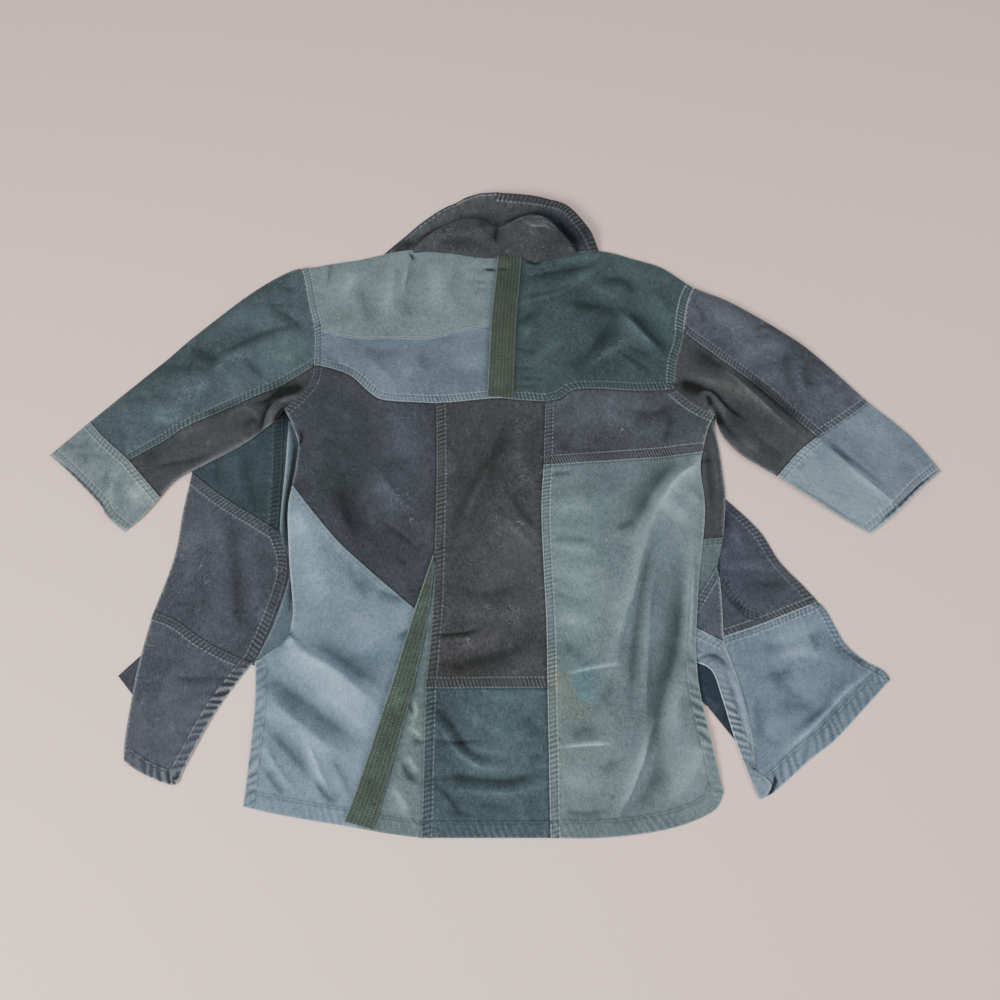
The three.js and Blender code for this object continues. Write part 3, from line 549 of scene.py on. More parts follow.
# Each fold says its height, its width, its tone and the places that it runs through. The tone paints
# shade into a trough, and highlight with wear onto a ridge; a fold of no height only changes the tone.
YOKE_FOLDS = [
    (-1.6, 10, -0.06, (-120, 357), (-124, 330), (-132, 295), (-125, 260), (-118, 235)),
    (1.6, 3.5, 0.12, (-126, 338), (-130, 308), (-133, 282)),
    (3.2, 11, 0.08, (-145, 345), (-148, 300), (-147, 270), (-140, 245)),
    (-2.0, 2.6, -0.26, (-126, 358), (-119, 345)),
    (-2.0, 3, -0.26, (44, 353), (58, 339), (72, 346)),
    (-1.4, 11, -0.06, (-193, 305), (-190, 275), (-183, 250), (-185, 230)),
    (1.6, 12, 0.06, (-200, 325), (-215, 285)),
    (-1.2, 4, -0.10, (-240, 345), (-243, 300)),
    (-0.6, 4, -0.05, (-40, 330), (-3, 325)),
    (-0.6, 4, -0.05, (-34, 310), (-3, 305)),
    (0.6, 2.4, -0.34, (-15, 328), (2, 326)),
    (-0.6, 4, -0.05, (-28, 297), (-5, 291)),
    (1.5, 16, 0.05, (-90, 345), (-80, 300), (-85, 250)),
    (-1.3, 12, -0.06, (-50, 345), (-60, 300), (-50, 260)),
    (-1.2, 10, -0.10, (-240, 190), (-215, 167), (-188, 152)),
    (-1.4, 10, -0.07, (-108, 190), (-90, 160)),
    (1.6, 8, 0.07, (-112, 168), (-122, 148)),
    (1.2, 14, 0.06, (-55, 178), (-25, 165)),
    (-1.0, 9, -0.07, (-190, 203), (-160, 190), (-130, 192)),
    (1.4, 10, 0.05, (-180, 180), (-150, 150), (-140, 135)),
    (-2.0, 7, -0.16, (35, 310), (80, 322), (140, 335), (158, 346)),
    (-2.2, 8, -0.15, (40, 280), (90, 290), (130, 310)),
    (3.0, 7, 0.12, (35, 268), (60, 275), (100, 290), (130, 310), (160, 335)),
    (2.0, 8, 0.08, (90, 335), (120, 345), (150, 352)),
    (-1.8, 7, -0.12, (28, 232), (45, 245), (65, 262)),
    (1.2, 7, 0.10, (45, 212), (52, 228)),
    (-2.2, 9, -0.14, (100, 275), (150, 265), (195, 255)),
    (-2.2, 8, -0.16, (155, 300), (172, 312), (195, 305), (202, 283)),
    (2.2, 9, 0.08, (140, 300), (165, 285), (185, 270)),
    (-3.2, 9, -0.18, (190, 262), (215, 230), (235, 205), (248, 188)),
    (2.8, 6, 0.12, (176, 262), (201, 230), (223, 204), (240, 180)),
    (2.0, 12, 0.06, (225, 300), (245, 260), (255, 225)),
    (-3.0, 16, -0.16, (172, 242), (150, 205), (130, 180), (98, 158)),
    (2.6, 9, 0.12, (200, 215), (160, 185), (128, 163)),
    (-1.3, 4, -0.12, (175, 190), (200, 175), (225, 155)),
    (-1.2, 4, -0.08, (195, 200), (222, 182)),
    (-0.9, 3.5, -0.10, (30, 195), (60, 190)),
    (-0.9, 3.5, -0.10, (28, 165), (55, 163)),
    (-1.0, 3.5, -0.10, (28, 150), (75, 147)),
    (-0.9, 3.5, -0.10, (30, 135), (60, 136)),
    (1.0, 8, 0.05, (70, 180), (100, 215)),
]
BACK_UPPER_FOLDS = [
    (3.2, 26, 0.04, (-262, 20), (-205, -60), (-130, -120)),
    (-3.0, 13, -0.16, (-207, -5), (-195, -50), (-178, -92)),
    (-1.2, 14, -0.10, (-155, 22), (-108, 20)),
    (2.4, 10, 0.08, (-160, 10), (-130, -30), (-100, -55)),
    (-1.6, 5, -0.14, (-142, -68), (-100, -102)),
    (-1.0, 4, -0.10, (-128, -112), (-110, -126)),
    (1.0, 2.5, 0.26, (-273, 66), (-270, 55), (-273, 45)),
    (-1.2, 2.2, -0.30, (-267, 68), (-263, 56), (-267, 44)),
    (1.6, 9, 0.05, (-235, 110), (-190, 80)),
    (-1.4, 10, -0.08, (-240, 60), (-190, 35)),
    (-3.4, 15, -0.18, (22, 92), (5, 40), (-20, 0), (-40, -45), (-60, -90)),
    (2.5, 7, 0.12, (-3, 22), (-14, -8), (-27, -35), (-38, -72)),
    (-2.2, 8, -0.14, (20, -18), (40, -55), (60, -76)),
    (2.0, 9, 0.11, (8, -58), (38, -85), (56, -112)),
    (-1.5, 9, -0.10, (-70, 60), (-45, 20), (-50, -20)),
    (1.8, 10, 0.08, (40, 85), (35, 30), (52, -8)),
    (-1.8, 3, -0.28, (-75, -219), (-40, -217), (-18, -211)),
    (1.2, 5, 0.08, (-70, -226), (-30, -224)),
    (-2.6, 11, -0.16, (-80, -262), (-40, -255), (0, -245), (30, -235), (52, -224)),
    (1.8, 10, 0.06, (-60, -238), (-10, -228), (30, -214)),
    (-1.2, 10, -0.10, (-60, -150), (-10, -165), (40, -150)),
    (1.2, 12, 0.05, (-55, -185), (0, -195), (50, -180)),
    (-2.2, 13, -0.20, (188, 96), (222, 93), (250, 104)),
    (-2.0, 7, -0.14, (247, 94), (238, 70), (231, 44)),
    (1.4, 20, 0.08, (100, 78), (160, 88), (205, 62)),
    (-1.2, 8, -0.08, (85, 60), (110, 40), (150, 38)),
]
BACK_LEFT_FOLDS = [
    (1.2, 15, 0.10, (-262, -45), (-245, -85)),
    (2.0, 18, 0.08, (-232, -125), (-215, -175)),
    (-1.6, 6, -0.12, (-152, -158), (-110, -176)),
    (-1.6, 12, -0.08, (-190, -130), (-160, -170)),
    (6.0, -14, 0.12, (-266, -221), (-240, -243), (-200, -264), (-165, -292), (-143, -312)),
    (-3.8, -15, -0.14, (-242, -224), (-208, -238), (-168, -264), (-134, -284)),
    (2.8, 5, 0.14, (-246, -232), (-258, -222), (-268, -213), (-262, -205), (-252, -208)),
    (-2.6, 4, -0.24, (-259, -226), (-262, -216)),
    (-3.0, 6, -0.20, (-276, -236), (-270, -222), (-272, -206)),
    (2.2, 18, 0.08, (-215, -285), (-175, -318), (-152, -340)),
    (0.0, 26, 0.07, (-262, -60), (-235, -110), (-205, -150)),
    (0.0, 22, -0.05, (-140, -230), (-150, -262)),
    (-3.4, 16, -0.14, (-292, -264), (-262, -285), (-228, -308), (-195, -332), (-156, -356)),
    (3.4, -13, 0.11, (-288, -286), (-265, -310), (-238, -332), (-208, -354), (-182, -368)),
    (-2.8, 9, -0.12, (-284, -325), (-262, -348), (-238, -372), (-212, -402)),
    (2.4, 7, 0.08, (-282, -352), (-262, -382), (-240, -410)),
    (-1.8, 6, -0.12, (-280, -378), (-262, -402), (-250, -418)),
    (2.6, 6, 0.12, (-226, -350), (-211, -384), (-196, -412)),
    (-2.0, 7, -0.16, (-216, -392), (-202, -414), (-185, -428)),
    (-1.6, 7, -0.10, (-198, -366), (-180, -395), (-172, -420)),
    (-1.6, 6, -0.12, (-122, -222), (-106, -212)),
    (1.5, 4, 0.15, (-99, -300), (-93, -314), (-99, -328)),
    (-1.4, 3, -0.15, (-104, -306), (-98, -322)),
    (1.3, 3.5, 0.14, (-105, -334), (-94, -341), (-87, -348)),
    (-1.3, 3, -0.14, (-98, -349), (-86, -352)),
    (-1.6, 6, -0.16, (-112, -372), (-102, -392), (-90, -402)),
    (1.5, 5, 0.14, (-104, -366), (-95, -380), (-87, -388)),
    (1.6, 6, 0.14, (-122, -402), (-108, -420), (-98, -438)),
]
CENTRE_LOW_FOLDS = [
    (-3.0, 7, -0.22, (-80, -304), (-62, -318), (-47, -336), (-35, -357), (-14, -370), (14, -372)),
    (2.4, 6, 0.14, (-74, -322), (-57, -345), (-40, -368), (-14, -382), (24, -384)),
    (1.8, 12, 0.08, (-40, -315), (-10, -330), (20, -345)),
    (-1.8, 3.5, -0.18, (-75, -350), (-50, -352), (-10, -350)),
    (1.4, 4, 0.08, (-20, -362), (20, -366)),
    (-3.6, 8, -0.25, (-72, -395), (-40, -392), (-8, -397), (24, -397), (62, -387)),
    (2.2, 7, 0.10, (-62, -408), (-20, -410), (30, -411), (62, -402)),
    (-1.8, 4, -0.20, (-72, -400), (-52, -420), (-38, -441)),
    (-1.2, 4, -0.10, (-20, -424), (25, -428)),
    (-1.4, 8, -0.12, (35, -318), (60, -342)),
    (-1.2, 5, -0.12, (40, -372), (62, -366)),
    (1.2, 7, 0.06, (-10, -300), (40, -298)),
    (-1.2, 4, -0.12, (-60, -432), (-20, -437)),
]
BACK_RIGHT_FOLDS = [
    (4.6, -6.5, 0.22, (284, 33), (272, 15), (255, 3), (240, -12), (228, -30), (215, -50)),
    (6.0, 11, 0.13, (222, -38), (207, -72), (197, -100), (187, -135), (176, -170), (163, -205), (150, -262)),
    (-3.6, -14, -0.20, (264, 20), (238, 12), (222, -6), (206, -30), (192, -55), (172, -68)),
    (-1.6, 7, -0.12, (190, -62), (160, -77)),
    (0.0, 24, 0.05, (150, -120), (130, -190), (115, -240)),
    (0.0, 20, -0.05, (100, -20), (130, -10), (170, 6)),
    (1.6, 16, 0.14, (222, -38), (240, -52), (258, -66)),
    (-1.4, 9, -0.10, (236, -20), (262, -42)),
    (1.2, 9, 0.08, (262, -22), (276, -40)),
    (-3.2, 9, -0.16, (214, -88), (200, -128), (190, -168), (181, -215), (174, -262), (168, -312)),
    (3.6, 9, 0.07, (224, -95), (210, -132), (200, -175), (195, -222), (190, -272), (188, -312), (185, -345)),
    (-3.6, -15, -0.20, (243, -112), (240, -160), (234, -210), (222, -258), (206, -304), (200, -350),
      (207, -392)),
    (2.2, 6, 0.10, (262, -100), (256, -160), (252, -205), (246, -240)),
    (2.0, 11, 0.08, (244, -268), (226, -310), (232, -350)),
    (4.4, 5.5, 0.16, (197, -325), (188, -352), (181, -375), (172, -396), (161, -420), (148, -437)),
    (-2.4, 11, -0.12, (203, -370), (190, -402), (168, -432)),
    (2.4, 12, 0.08, (262, -350), (240, -392), (215, -425)),
    (-2.2, 5, -0.12, (82, -431), (110, -435), (138, -431)),
    (-1.8, 8, -0.10, (74, -88), (105, -88), (132, -93)),
    (1.4, 12, 0.08, (82, -52), (105, -45), (130, -50)),
    (1.5, 8, 0.08, (76, -99), (105, -104), (132, -110)),
    (1.2, 10, 0.06, (78, -136), (100, -140), (128, -152)),
    (-1.2, 8, -0.08, (78, -160), (105, -172), (130, -168)),
    (1.2, 10, 0.07, (80, -198), (112, -202)),
    (-1.2, 10, -0.07, (84, -228), (120, -238)),
    (-1.4, 3.5, -0.14, (78, 4), (106, 4)),
    (1.0, 1.8, 0.42, (96, -268), (128, -261), (158, -257)),
    (0.8, 1.8, 0.36, (82, -359), (114, -356), (142, -355)),
    (-1.8, 10, -0.10, (92, -340), (130, -335)),
    (-1.4, 8, -0.08, (130, -300), (150, -280)),
    (1.4, 12, 0.06, (84, -400), (120, -398)),
    (-1.2, 8, -0.10, (130, -390), (150, -370)),
]
BACK_STAINS_AND_SHADOWS = [
    ((0.86, 0.80, 0.66), 0.55, 12, (-236, 246), (-205, 244)),
    ((0.88, 0.90, 0.84), 0.6, 13, (-180, 332), (-170, 322)),
    ((0.90, 0.84, 0.76), 0.5, 15, (-50, 262), (-22, 248)),
    ((1.10, 1.09, 1.06), 0.6, 22, (-110, 320), (-95, 285)),
    ((1.08, 1.08, 1.08), 0.7, 22, (-215, 300), (-205, 330)),
    ((0.74, 0.82, 0.74), 0.8, 42, (-225, 95), (-200, 40), (-215, -10)),
    ((1.22, 1.20, 1.26), 0.9, 34, (-120, 90), (-125, 30), (-135, -40)),
    ((2.1, 2.1, 2.1), 1.0, 4, (300, 98), (304, 92)),
    ((0.90, 0.96, 0.90), 0.8, 22, (275, 80), (262, 55)),
    ((1.22, 1.12, 1.10), 0.7, 16, (-165, -196), (-152, -206)),
    ((1.12, 1.20, 1.26), 0.7, 14, (-158, -232), (-142, -244)),
    ((1.12, 1.14, 1.16), 0.8, 20, (-120, -192), (-128, -214)),
    ((1.16, 1.12, 1.00), 0.7, 14, (-95, -310), (-98, -340)),
    ((1.18, 1.06, 1.10), 0.8, 13, (-55, -240), (-8, -228)),
    ((1.25, 1.22, 1.40), 0.5, 9, (48, -235), (54, -252)),
    ((1.14, 1.00, 0.92), 0.6, 12, (-60, -262), (-30, -268)),
    ((1.26, 1.06, 0.80), 0.62, 15, (84, -278), (92, -300), (102, -318)),
    ((0.80, 1.12, 1.16), 0.85, 11, (116, -268), (108, -284), (116, -294)),
    ((1.16, 1.02, 0.94), 0.8, 10, (104, -366), (128, -364)),
    ((1.12, 1.10, 1.00), 0.7, 14, (120, -318), (136, -322)),
    ((1.12, 1.05, 1.02), 0.8, 12, (236, -296), (226, -316)),
    ((0.94, 0.88, 0.80), 0.6, 16, (236, 20), (180, -64)),
    ((1.20, 1.10, 0.92), 0.6, 6, (76, -250), (78, -320), (82, -380)),
    ((1.06, 1.12, 1.08), 0.7, 24, (100, -60), (110, -160), (100, -230)),
    # The last four are painted shadows beside the edges of the two tapes.
    ((0.62, 0.66, 0.66), 0.8, 4, (2, 344), (-1, 307), (-7, 240), (-12, 122)),
    ((0.66, 0.70, 0.70), 0.8, 4, (29, 122), (34, 240), (39, 307), (42, 344)),
    ((0.70, 0.72, 0.72), 0.8, 4, (-81, -112), (-107, -200), (-133, -295), (-160, -386), (-178, -440)),
    ((0.66, 0.68, 0.68), 0.8, 4, (-139, -450), (-120, -380), (-98, -289), (-83, -210)),
]

armholes_left = [armhole_left_top, armhole_left_middle, armhole_left_low]
armholes_right = [armhole_right_top, armhole_right_middle, armhole_right_low]
armholes = armholes_left + armholes_right


def back_base(points):
    """Height of the back, which lies on the fronts, comes down at the hem and stands up at the armholes."""
    x, y = points.T
    crown = 4 * np.maximum(0, 1 - (x / 300) ** 4) * rise(-y, -360, -300)
    body = rise(y, -430, -350) * (BACK_REST + crown)
    seam_rise = 1.8
    near_sleeve = np.abs(x) > 190
    at_armhole = np.zeros(len(points))
    if near_sleeve.any():
        away = distance_to(armholes, points[near_sleeve])
        at_armhole[near_sleeve] = seam_rise * np.exp(-((away / 17) ** 2))
    return CLOTH + body + at_armhole


right_side_strip = right_side_lower[right_side_lower[:, 1] < -128]
BACK_BANDS = [
    Band(armhole_left_top, 1, 10, 5.2, pale=0.75, tone=-0.2),
    Band(armhole_left_middle, 1, 10, 5.2, pale=0.6, tone=-0.2),
    Band(armhole_left_low, 1, 10, 5.4, pale=0.45),
    Band(armhole_right_top, -1, 12, 5.4, pale=1.0),
    Band(armhole_right_middle, -1, 11, 5.4, pale=0.65),
    Band(armhole_right_low, -1, 11, 5.2, pale=0.6),
    Band(yoke_seam_left, 1, 11, 5.2, pale=0.75),
    Band(yoke_seam_centre_left, 1, 11, 5.2, pale=0.8),
    Band(yoke_seam_centre_right, 1, 11, 5.2, pale=0.6),
    Band(yoke_seam_right, 1, 11, 5.2, pale=0.5, tone=-0.12),
    Band(yoke_split, -1, 3.2, 6, pucker=0.06, pale=0.75, raised=0.3, rows=(1.6,), ditch=0.3, tone=0),
    Band(centre_left_upper, 1, 12, 6, pale=0.5),
    Band(centre_left_middle, 1, 12, 6, pale=0.45),
    Band(centre_left_low, 1, 12, 6, pale=0.5),
    Band(centre_right_upper, 1, 11, 5.6, pale=0.4),
    Band(centre_right_middle, 1, 11, 5.6, pucker=0.5, pale=0.8, tone=-0.16),
    Band(centre_right_low, 1, 11, 5.8, pucker=0.5, pale=0.75, tone=-0.16),
    Band(cross_seam, 1, 13, 4.6, pale=0.5),
    Band(right_cross_seam, 1, 14, 3.8, pucker=0.4, pale=0.7, tone=-0.14),
    Band(hem_left, 1, 19, 8.6, pucker=0.22, pale=0.4, rows=(17.5,), ditch=-0.8),
    Band(hem_tape, 1, 18, 8.6, pucker=0.22, pale=0.35, rows=(16.5,), ditch=-0.8),
    Band(hem_centre, 1, 18, 8, pucker=0.22, pale=0.35, rows=(16.5,), ditch=-0.7),
    Band(hem_right, 1, 19, 8.6, pucker=0.22, pale=0.4, rows=(17.5,), ditch=-0.9),
    Band(left_vent, 1, 13, 11.5, pucker=1.1, pale=0.8, rows=(12,), tone=-0.1, ditch=-0.8),
    Band(right_vent, -1, 13, 12, pucker=1.1, pale=0.8, rows=(12,), tone=-0.1, ditch=-0.8),
    Band(right_side_strip, -1, 9, 14, pucker=0.2, pale=0.35, raised=0.3, rows=(), tone=0, ditch=-0.6),
    Band(left_diagonal, -1, 6, 9, pucker=0.08, pale=0.4, raised=0.4, rows=(5,), ditch=0.8, tone=0),
]
BACK_EDGES = [
    (shoulder_left, 6, 3.0),
    (shoulder_right, 6, 3.0),
    (left_side_upper, 3, 1.4),
    (left_side_lower[left_side_lower[:, 1] > -205], 3, 1.4),
    (right_side_upper, 3, 1.4),
    (right_side_lower, 3, 1.6),
    (left_vent, 2.5, 0.9),
    (right_vent, 2.5, 0.9),
]


BACK_FOLDS = stronger(YOKE_FOLDS, 1.5) + stronger(BACK_UPPER_FOLDS, 1.35) + stronger(CENTRE_LOW_FOLDS, 1.25)
BACK_FOLDS += stronger(BACK_LEFT_FOLDS, 1.9) + stronger(BACK_RIGHT_FOLDS, 1.55)
back_layer = Layer(
    back_base,
    BACK_FOLDS,
    BACK_BANDS,
    BACK_STAINS_AND_SHADOWS,
    BACK_EDGES,
    seed=3,
    uneven=0.55,
    least=lambda points: LOWEST + LAYER * rise(points[:, 1], -346, -326),
)


RIB = 4.8
TAPE_EDGES = (yoke_tape_left, yoke_tape_right, back_tape_left, back_tape_right)


def tape_place(points):
    """How far a place is across its tape from the left edge, and how far along it."""
    on_yoke = points[:, 1] > 0
    across = np.zeros(len(points))
    along = np.zeros(len(points))
    for line, mine in ((yoke_tape_left, on_yoke), (back_tape_left, ~on_yoke)):
        if mine.any():
            distance, place, _ = nearest_on(evenly(line, FOLD_STEP), points[mine])
            across[mine] = np.abs(distance)
            along[mine] = place
    return across, along


def tape_base(points):
    """Height of the tapes with their ribs, which lie on the back."""
    lift = 2.3
    rib_height = 0.22
    across, _ = tape_place(points)
    ribs = rib_height * np.cos(2 * math.pi * across / RIB)
    return back_layer.form(points)[0] + lift + ribs


TAPE_FOLDS = [
    (0.3, 1.6, -0.35, (4, 326), (20, 326)),
    (0.3, 14, 0.10, (20, 345), (18, 325)),
    (0.3, 12, 0.08, (8, 150), (8, 125)),
    (0.3, 16, 0.08, (-95, -170), (-100, -200)),
    (0.3, 16, 0.14, (-112, -285), (-124, -318)),
    (-0.3, 10, -0.08, (-132, -345), (-140, -362)),
    (-0.3, 22, -0.14, (-146, -388), (-160, -432)),
]
tape_layer = Layer(
    tape_base,
    TAPE_FOLDS,
    edges=[(line, 1.6, 1.1) for line in TAPE_EDGES],
    seed=5,
    uneven=0.12,
)

RIGHT_FRONT_FOLDS = [
    (1.5, 10, 0.08, (318, -60), (330, -110)),
    (-1.4, 10, -0.20, (303, -40), (304, -80)),
    (-1.6, 9, -0.12, (322, -152), (350, -150), (392, -150)),
    (1.8, 8, 0.10, (310, -130), (340, -128), (365, -130)),
    (-1.4, 5, -0.16, (306, -172), (322, -190)),
    (-2.2, 7, -0.15, (430, -222), (440, -236), (456, -247), (474, -256)),
    (1.2, 10, 0.08, (350, -230), (395, -215), (415, -200)),
    (-1.3, 7, -0.12, (402, -214), (412, -240)),
    (-1.4, 8, -0.12, (340, -270), (380, -262)),
    (-1.4, 9, -0.09, (345, -300), (378, -308), (400, -300)),
    (-2.2, 9, -0.12, (380, -330), (408, -314), (430, -300)),
    (2.4, 3, 0.20, (352, -366), (398, -330), (440, -290), (478, -262)),
    (-2.2, -9, -0.09, (352, -356), (404, -320), (432, -293), (462, -262)),
    (-1.3, 8, -0.11, (340, -228), (356, -232), (372, -224)),
    (1.6, 8, 0.10, (352, -250), (392, -240), (420, -250)),
    (-1.2, 9, -0.08, (352, -262), (372, -292), (392, -300)),
    (1.2, 12, 0.06, (330, -330), (350, -345)),
    (-1.0, 2, -0.60, (341, -391), (337, -404), (330, -414)),
    (-1.2, 8, -0.10, (325, -300), (328, -350)),
]
floor_layer = Layer(
    level(CLOTH),
    stronger(RIGHT_FRONT_FOLDS, 1.5),
    [
        Band(right_front_edge_top, -1, 11, 6, pale=0.4),
        Band(right_front_seam, -1, 9, 5.6, pale=0.6, tone=-0.12, ditch=0),
        Band(right_front_seam, 1, 9, 5.2, pale=0.6, tone=-0.1, ditch=0),
        Band(right_front_edge_low, -1, 10, 6, pale=0.5),
        Band(right_front_hem, -1, 20, 12, pucker=0.8, pale=0.6, rows=(18.5,), tone=-0.1, ditch=-1.0),
        Band(right_front_tuck, 1, 9, 6, pucker=0.6, pale=0.3, tone=-0.16),
    ],
    [((0.82, 0.86, 0.98), 0.7, 26, (312, -60), (318, -150))],
    [(right_front_edge_top, 2.5, 0.9), (right_front_edge_low, 2.5, 0.9), (right_front_hem, 2.5, 0.9)],
    seed=9,
    uneven=0.35,
)


CHEST_FOLDS = [
    (0.9, 16, 0.06, (-230, 260), (-150, 180), (-120, 60)),
    (-0.9, 18, -0.06, (-240, 80), (-200, -60), (-160, -220)),
    (0.9, 14, 0.06, (60, 240), (150, 140), (220, 20)),
    (-0.9, 16, -0.08, (90, 60), (150, -80), (240, -180)),
    (0.8, 9, 0.12, (250, -262), (262, -290), (284, -322)),
]
chest_layer = Layer(level(CLOTH), CHEST_FOLDS, seed=31, uneven=0.2)


def left_front_base(points):
    """Height of the left front, which lies on its turned-under edge along its fold."""
    fold_x = -409 + 0.117 * points[:, 1]
    inside = points[:, 0] - fold_x
    return CLOTH + LAYER * (1 - rise(inside, 92, 122))


LEFT_FRONT_FOLDS = [
    (-2.4, 12, -0.20, (-352, -50), (-344, -85), (-338, -130), (-328, -180), (-312, -218)),
    (1.8, 16, 0.07, (-388, -70), (-392, -130), (-400, -180)),
    (1.4, 12, 0.05, (-318, -100), (-305, -150), (-298, -200)),
    (-1.6, 5, -0.18, (-402, -271), (-372, -273), (-346, -270)),
    (1.2, 12, 0.05, (-410, -240), (-370, -250)),
    (1.0, 8, 0.06, (-395, -320), (-390, -350)),
    (-1.3, 7, -0.12, (-380, 34), (-374, 0), (-364, -18)),
    (-1.2, 8, -0.10, (-340, 40), (-330, -10), (-318, -45)),
    (1.2, 8, 0.06, (-352, 35), (-345, 0), (-335, -35)),
    # Painted shade in the hollow under the left arm, with no height of its own.
    (0.0, 16, -0.80, (-316, 112), (-296, 110), (-284, 96), (-281, 84)),
]
# Painted shade in the same hollow under the left arm.
LEFT_FRONT_UNDERARM_SHADE = [((0.7, 0.7, 0.95), 0.8, 20, (-300, 104), (-288, 84))]
left_front_layer = Layer(
    left_front_base,
    LEFT_FRONT_FOLDS,
    [
        Band(left_front_seam, -1, 13, 5.2, pale=0.55, tone=-0.12),
        Band(left_front_low_seam, -1, 10, 5.6, pale=0.5, tone=-0.12),
        Band(left_front_vent, 1, 14, 10, pucker=1.6, pale=0.9, rows=(13,), tone=-0.1, ditch=-0.6),
        Band(left_front_hem, 1, 15, 11, pucker=0.8, pale=0.6, rows=(13.5,), ditch=-0.6),
        Band(left_front_side, -1, 12, 6, pale=0.5, tone=-0.15),
        Band(left_front_upper_side, 1, 12, 6.5, pale=0.5, tone=-0.34),
    ],
    LEFT_FRONT_UNDERARM_SHADE,
    edges=[
        (left_front_fold, 3.5, 1.8),
        (left_front_fold_low, 3.5, 1.8),
        (left_front_vent, 2.5, 1.0),
        (left_front_hem, 2.5, 1.0),
    ],
    seed=11,
    uneven=0.35,
)


SIDE_FOLDS = [
    # The left strip's pale outer edge is a painted highlight on its fold, and the dark lines after it are
    # painted shadow beside the back's edge.
    (0.6, 2.6, 0.16, (-282, 80), (-281, 20), (-281, -60)),
    (-1.0, 5, -0.42, (-283, 80), (-274, 52), (-273.5, 20), (-276, -13), (-278, -50), (-271, -120)),
    (-0.8, 5, -0.40, (-268, -100), (-262, -150), (-263, -185)),
    (1.0, 4, 0.05, (300, 60), (302, 10), (303, -30)),
    (-1.2, 5, -0.20, (288, 55), (290, 10), (291, -60)),
    (-1.2, 3, -0.15, (280, 22), (300, 26)),
    (1.2, 4, 0.15, (262, -212), (280, -224)),
    (-1.8, 4, -0.30, (262, -246), (280, -244), (298, -262)),
    (1.4, 4, 0.14, (296, -258), (308, -300), (314, -350)),
    (-1.0, 3, -0.14, (290, -262), (298, -300), (306, -350)),
    (-1.0, 2, -0.60, (311, -381), (321, -384), (328, -379), (339, -390)),
]
SIDE_PALE_PATCHES = [
    # The first two lighten the lower end of the left strip; the last is a painted highlight on the strip's
    # folded outer edge.
    ((1.45, 1.45, 1.42), 1.0, 26, (-268, -190), (-280, -235)),
    ((1.25, 1.25, 1.25), 0.8, 20, (-262, -150), (-268, -175)),
    ((1.9, 1.9, 1.9), 1.0, 6, (-285, 62), (-282, 20), (-284, -30), (-286, -72)),
]
side_layer = Layer(
    level(LAYER + CLOTH),
    SIDE_FOLDS,
    [
        Band(right_side_seam, -1, 10, 7, pale=0.6),
        Band(right_side_diagonal, 1, 9, 6, pale=0.5),
        Band(right_side_low_seam, -1, 11, 6, pale=0.6),
        Band(facing_edge, -1, 13, 9.5, pucker=1.3, pale=0.95, rows=(1.8, 12.0), ditch=-0.8),
    ],
    SIDE_PALE_PATCHES,
    least=level(LAYER + 1.1),
    edges=[
        (left_side_fold, 3, 2.0),
        (right_side_fold, 4, 2.2),
        (right_side_low_fold, 3, 1.6),
        (facing_fold, 4, 2.0),
        (facing_edge, 2.5, 1.2),
        (facing_corner, 2, 1.0),
    ],
    seed=13,
    uneven=0.2,
)


# ---------------------------------------------------------------- sleeves

def sleeve_rest(points):
    """Height of what lies under a sleeve, which ends short of its cuff."""
    return BACK_REST * (1 - rise(np.abs(points[:, 0]), 430, 470))


class Sleeve(Layer):
    """A sleeve pressed flat: it meets the back along the armhole and turns over at its folded edges."""

    def __init__(self, armhole, turned, folds, bands, tint_patches=(), seed=1):
        super().__init__(sleeve_rest, folds, bands, tint_patches, seed=seed, uneven=0.45)
        self.armhole = armhole
        self.turned = turned

    def look(self, points):
        z, tone, wear_and_shade = super().look(points)
        away = distance_to(self.turned, points)
        flat = rise(away, 0, 34)
        rest = sleeve_rest(points)
        crown = 2.4
        full = rest + 2 * ROLL + flat * crown + (0.15 + 0.85 * flat) * (z - rest)
        z = full - ROLL * rolled(away, 1.9 * ROLL)
        from_body = distance_to(self.armhole, points)
        back_z, back_tone, back_wear_and_shade = back_layer.look(points)
        joined = rise(from_body, 0, 42)
        z = back_z + (z - back_z) * joined
        own = rise(from_body, 0, 14)[:, None]
        tone = tone * (back_tone + (1 - back_tone) * own)
        wear_and_shade = wear_and_shade + back_wear_and_shade * (1 - rise(from_body, 1, 9))
        wear_and_shade = wear_and_shade + 0.6 * EDGE_WEAR * np.exp(-((away / 2) ** 2))
        return z, tone, wear_and_shade

    def under(self, points):
        """Height of the outer face of the wall that lies below."""
        rest = sleeve_rest(points)
        z = self.look(points)[0]
        return rest + (z - rest) * rolled(distance_to(self.turned, points), 1.9 * ROLL)


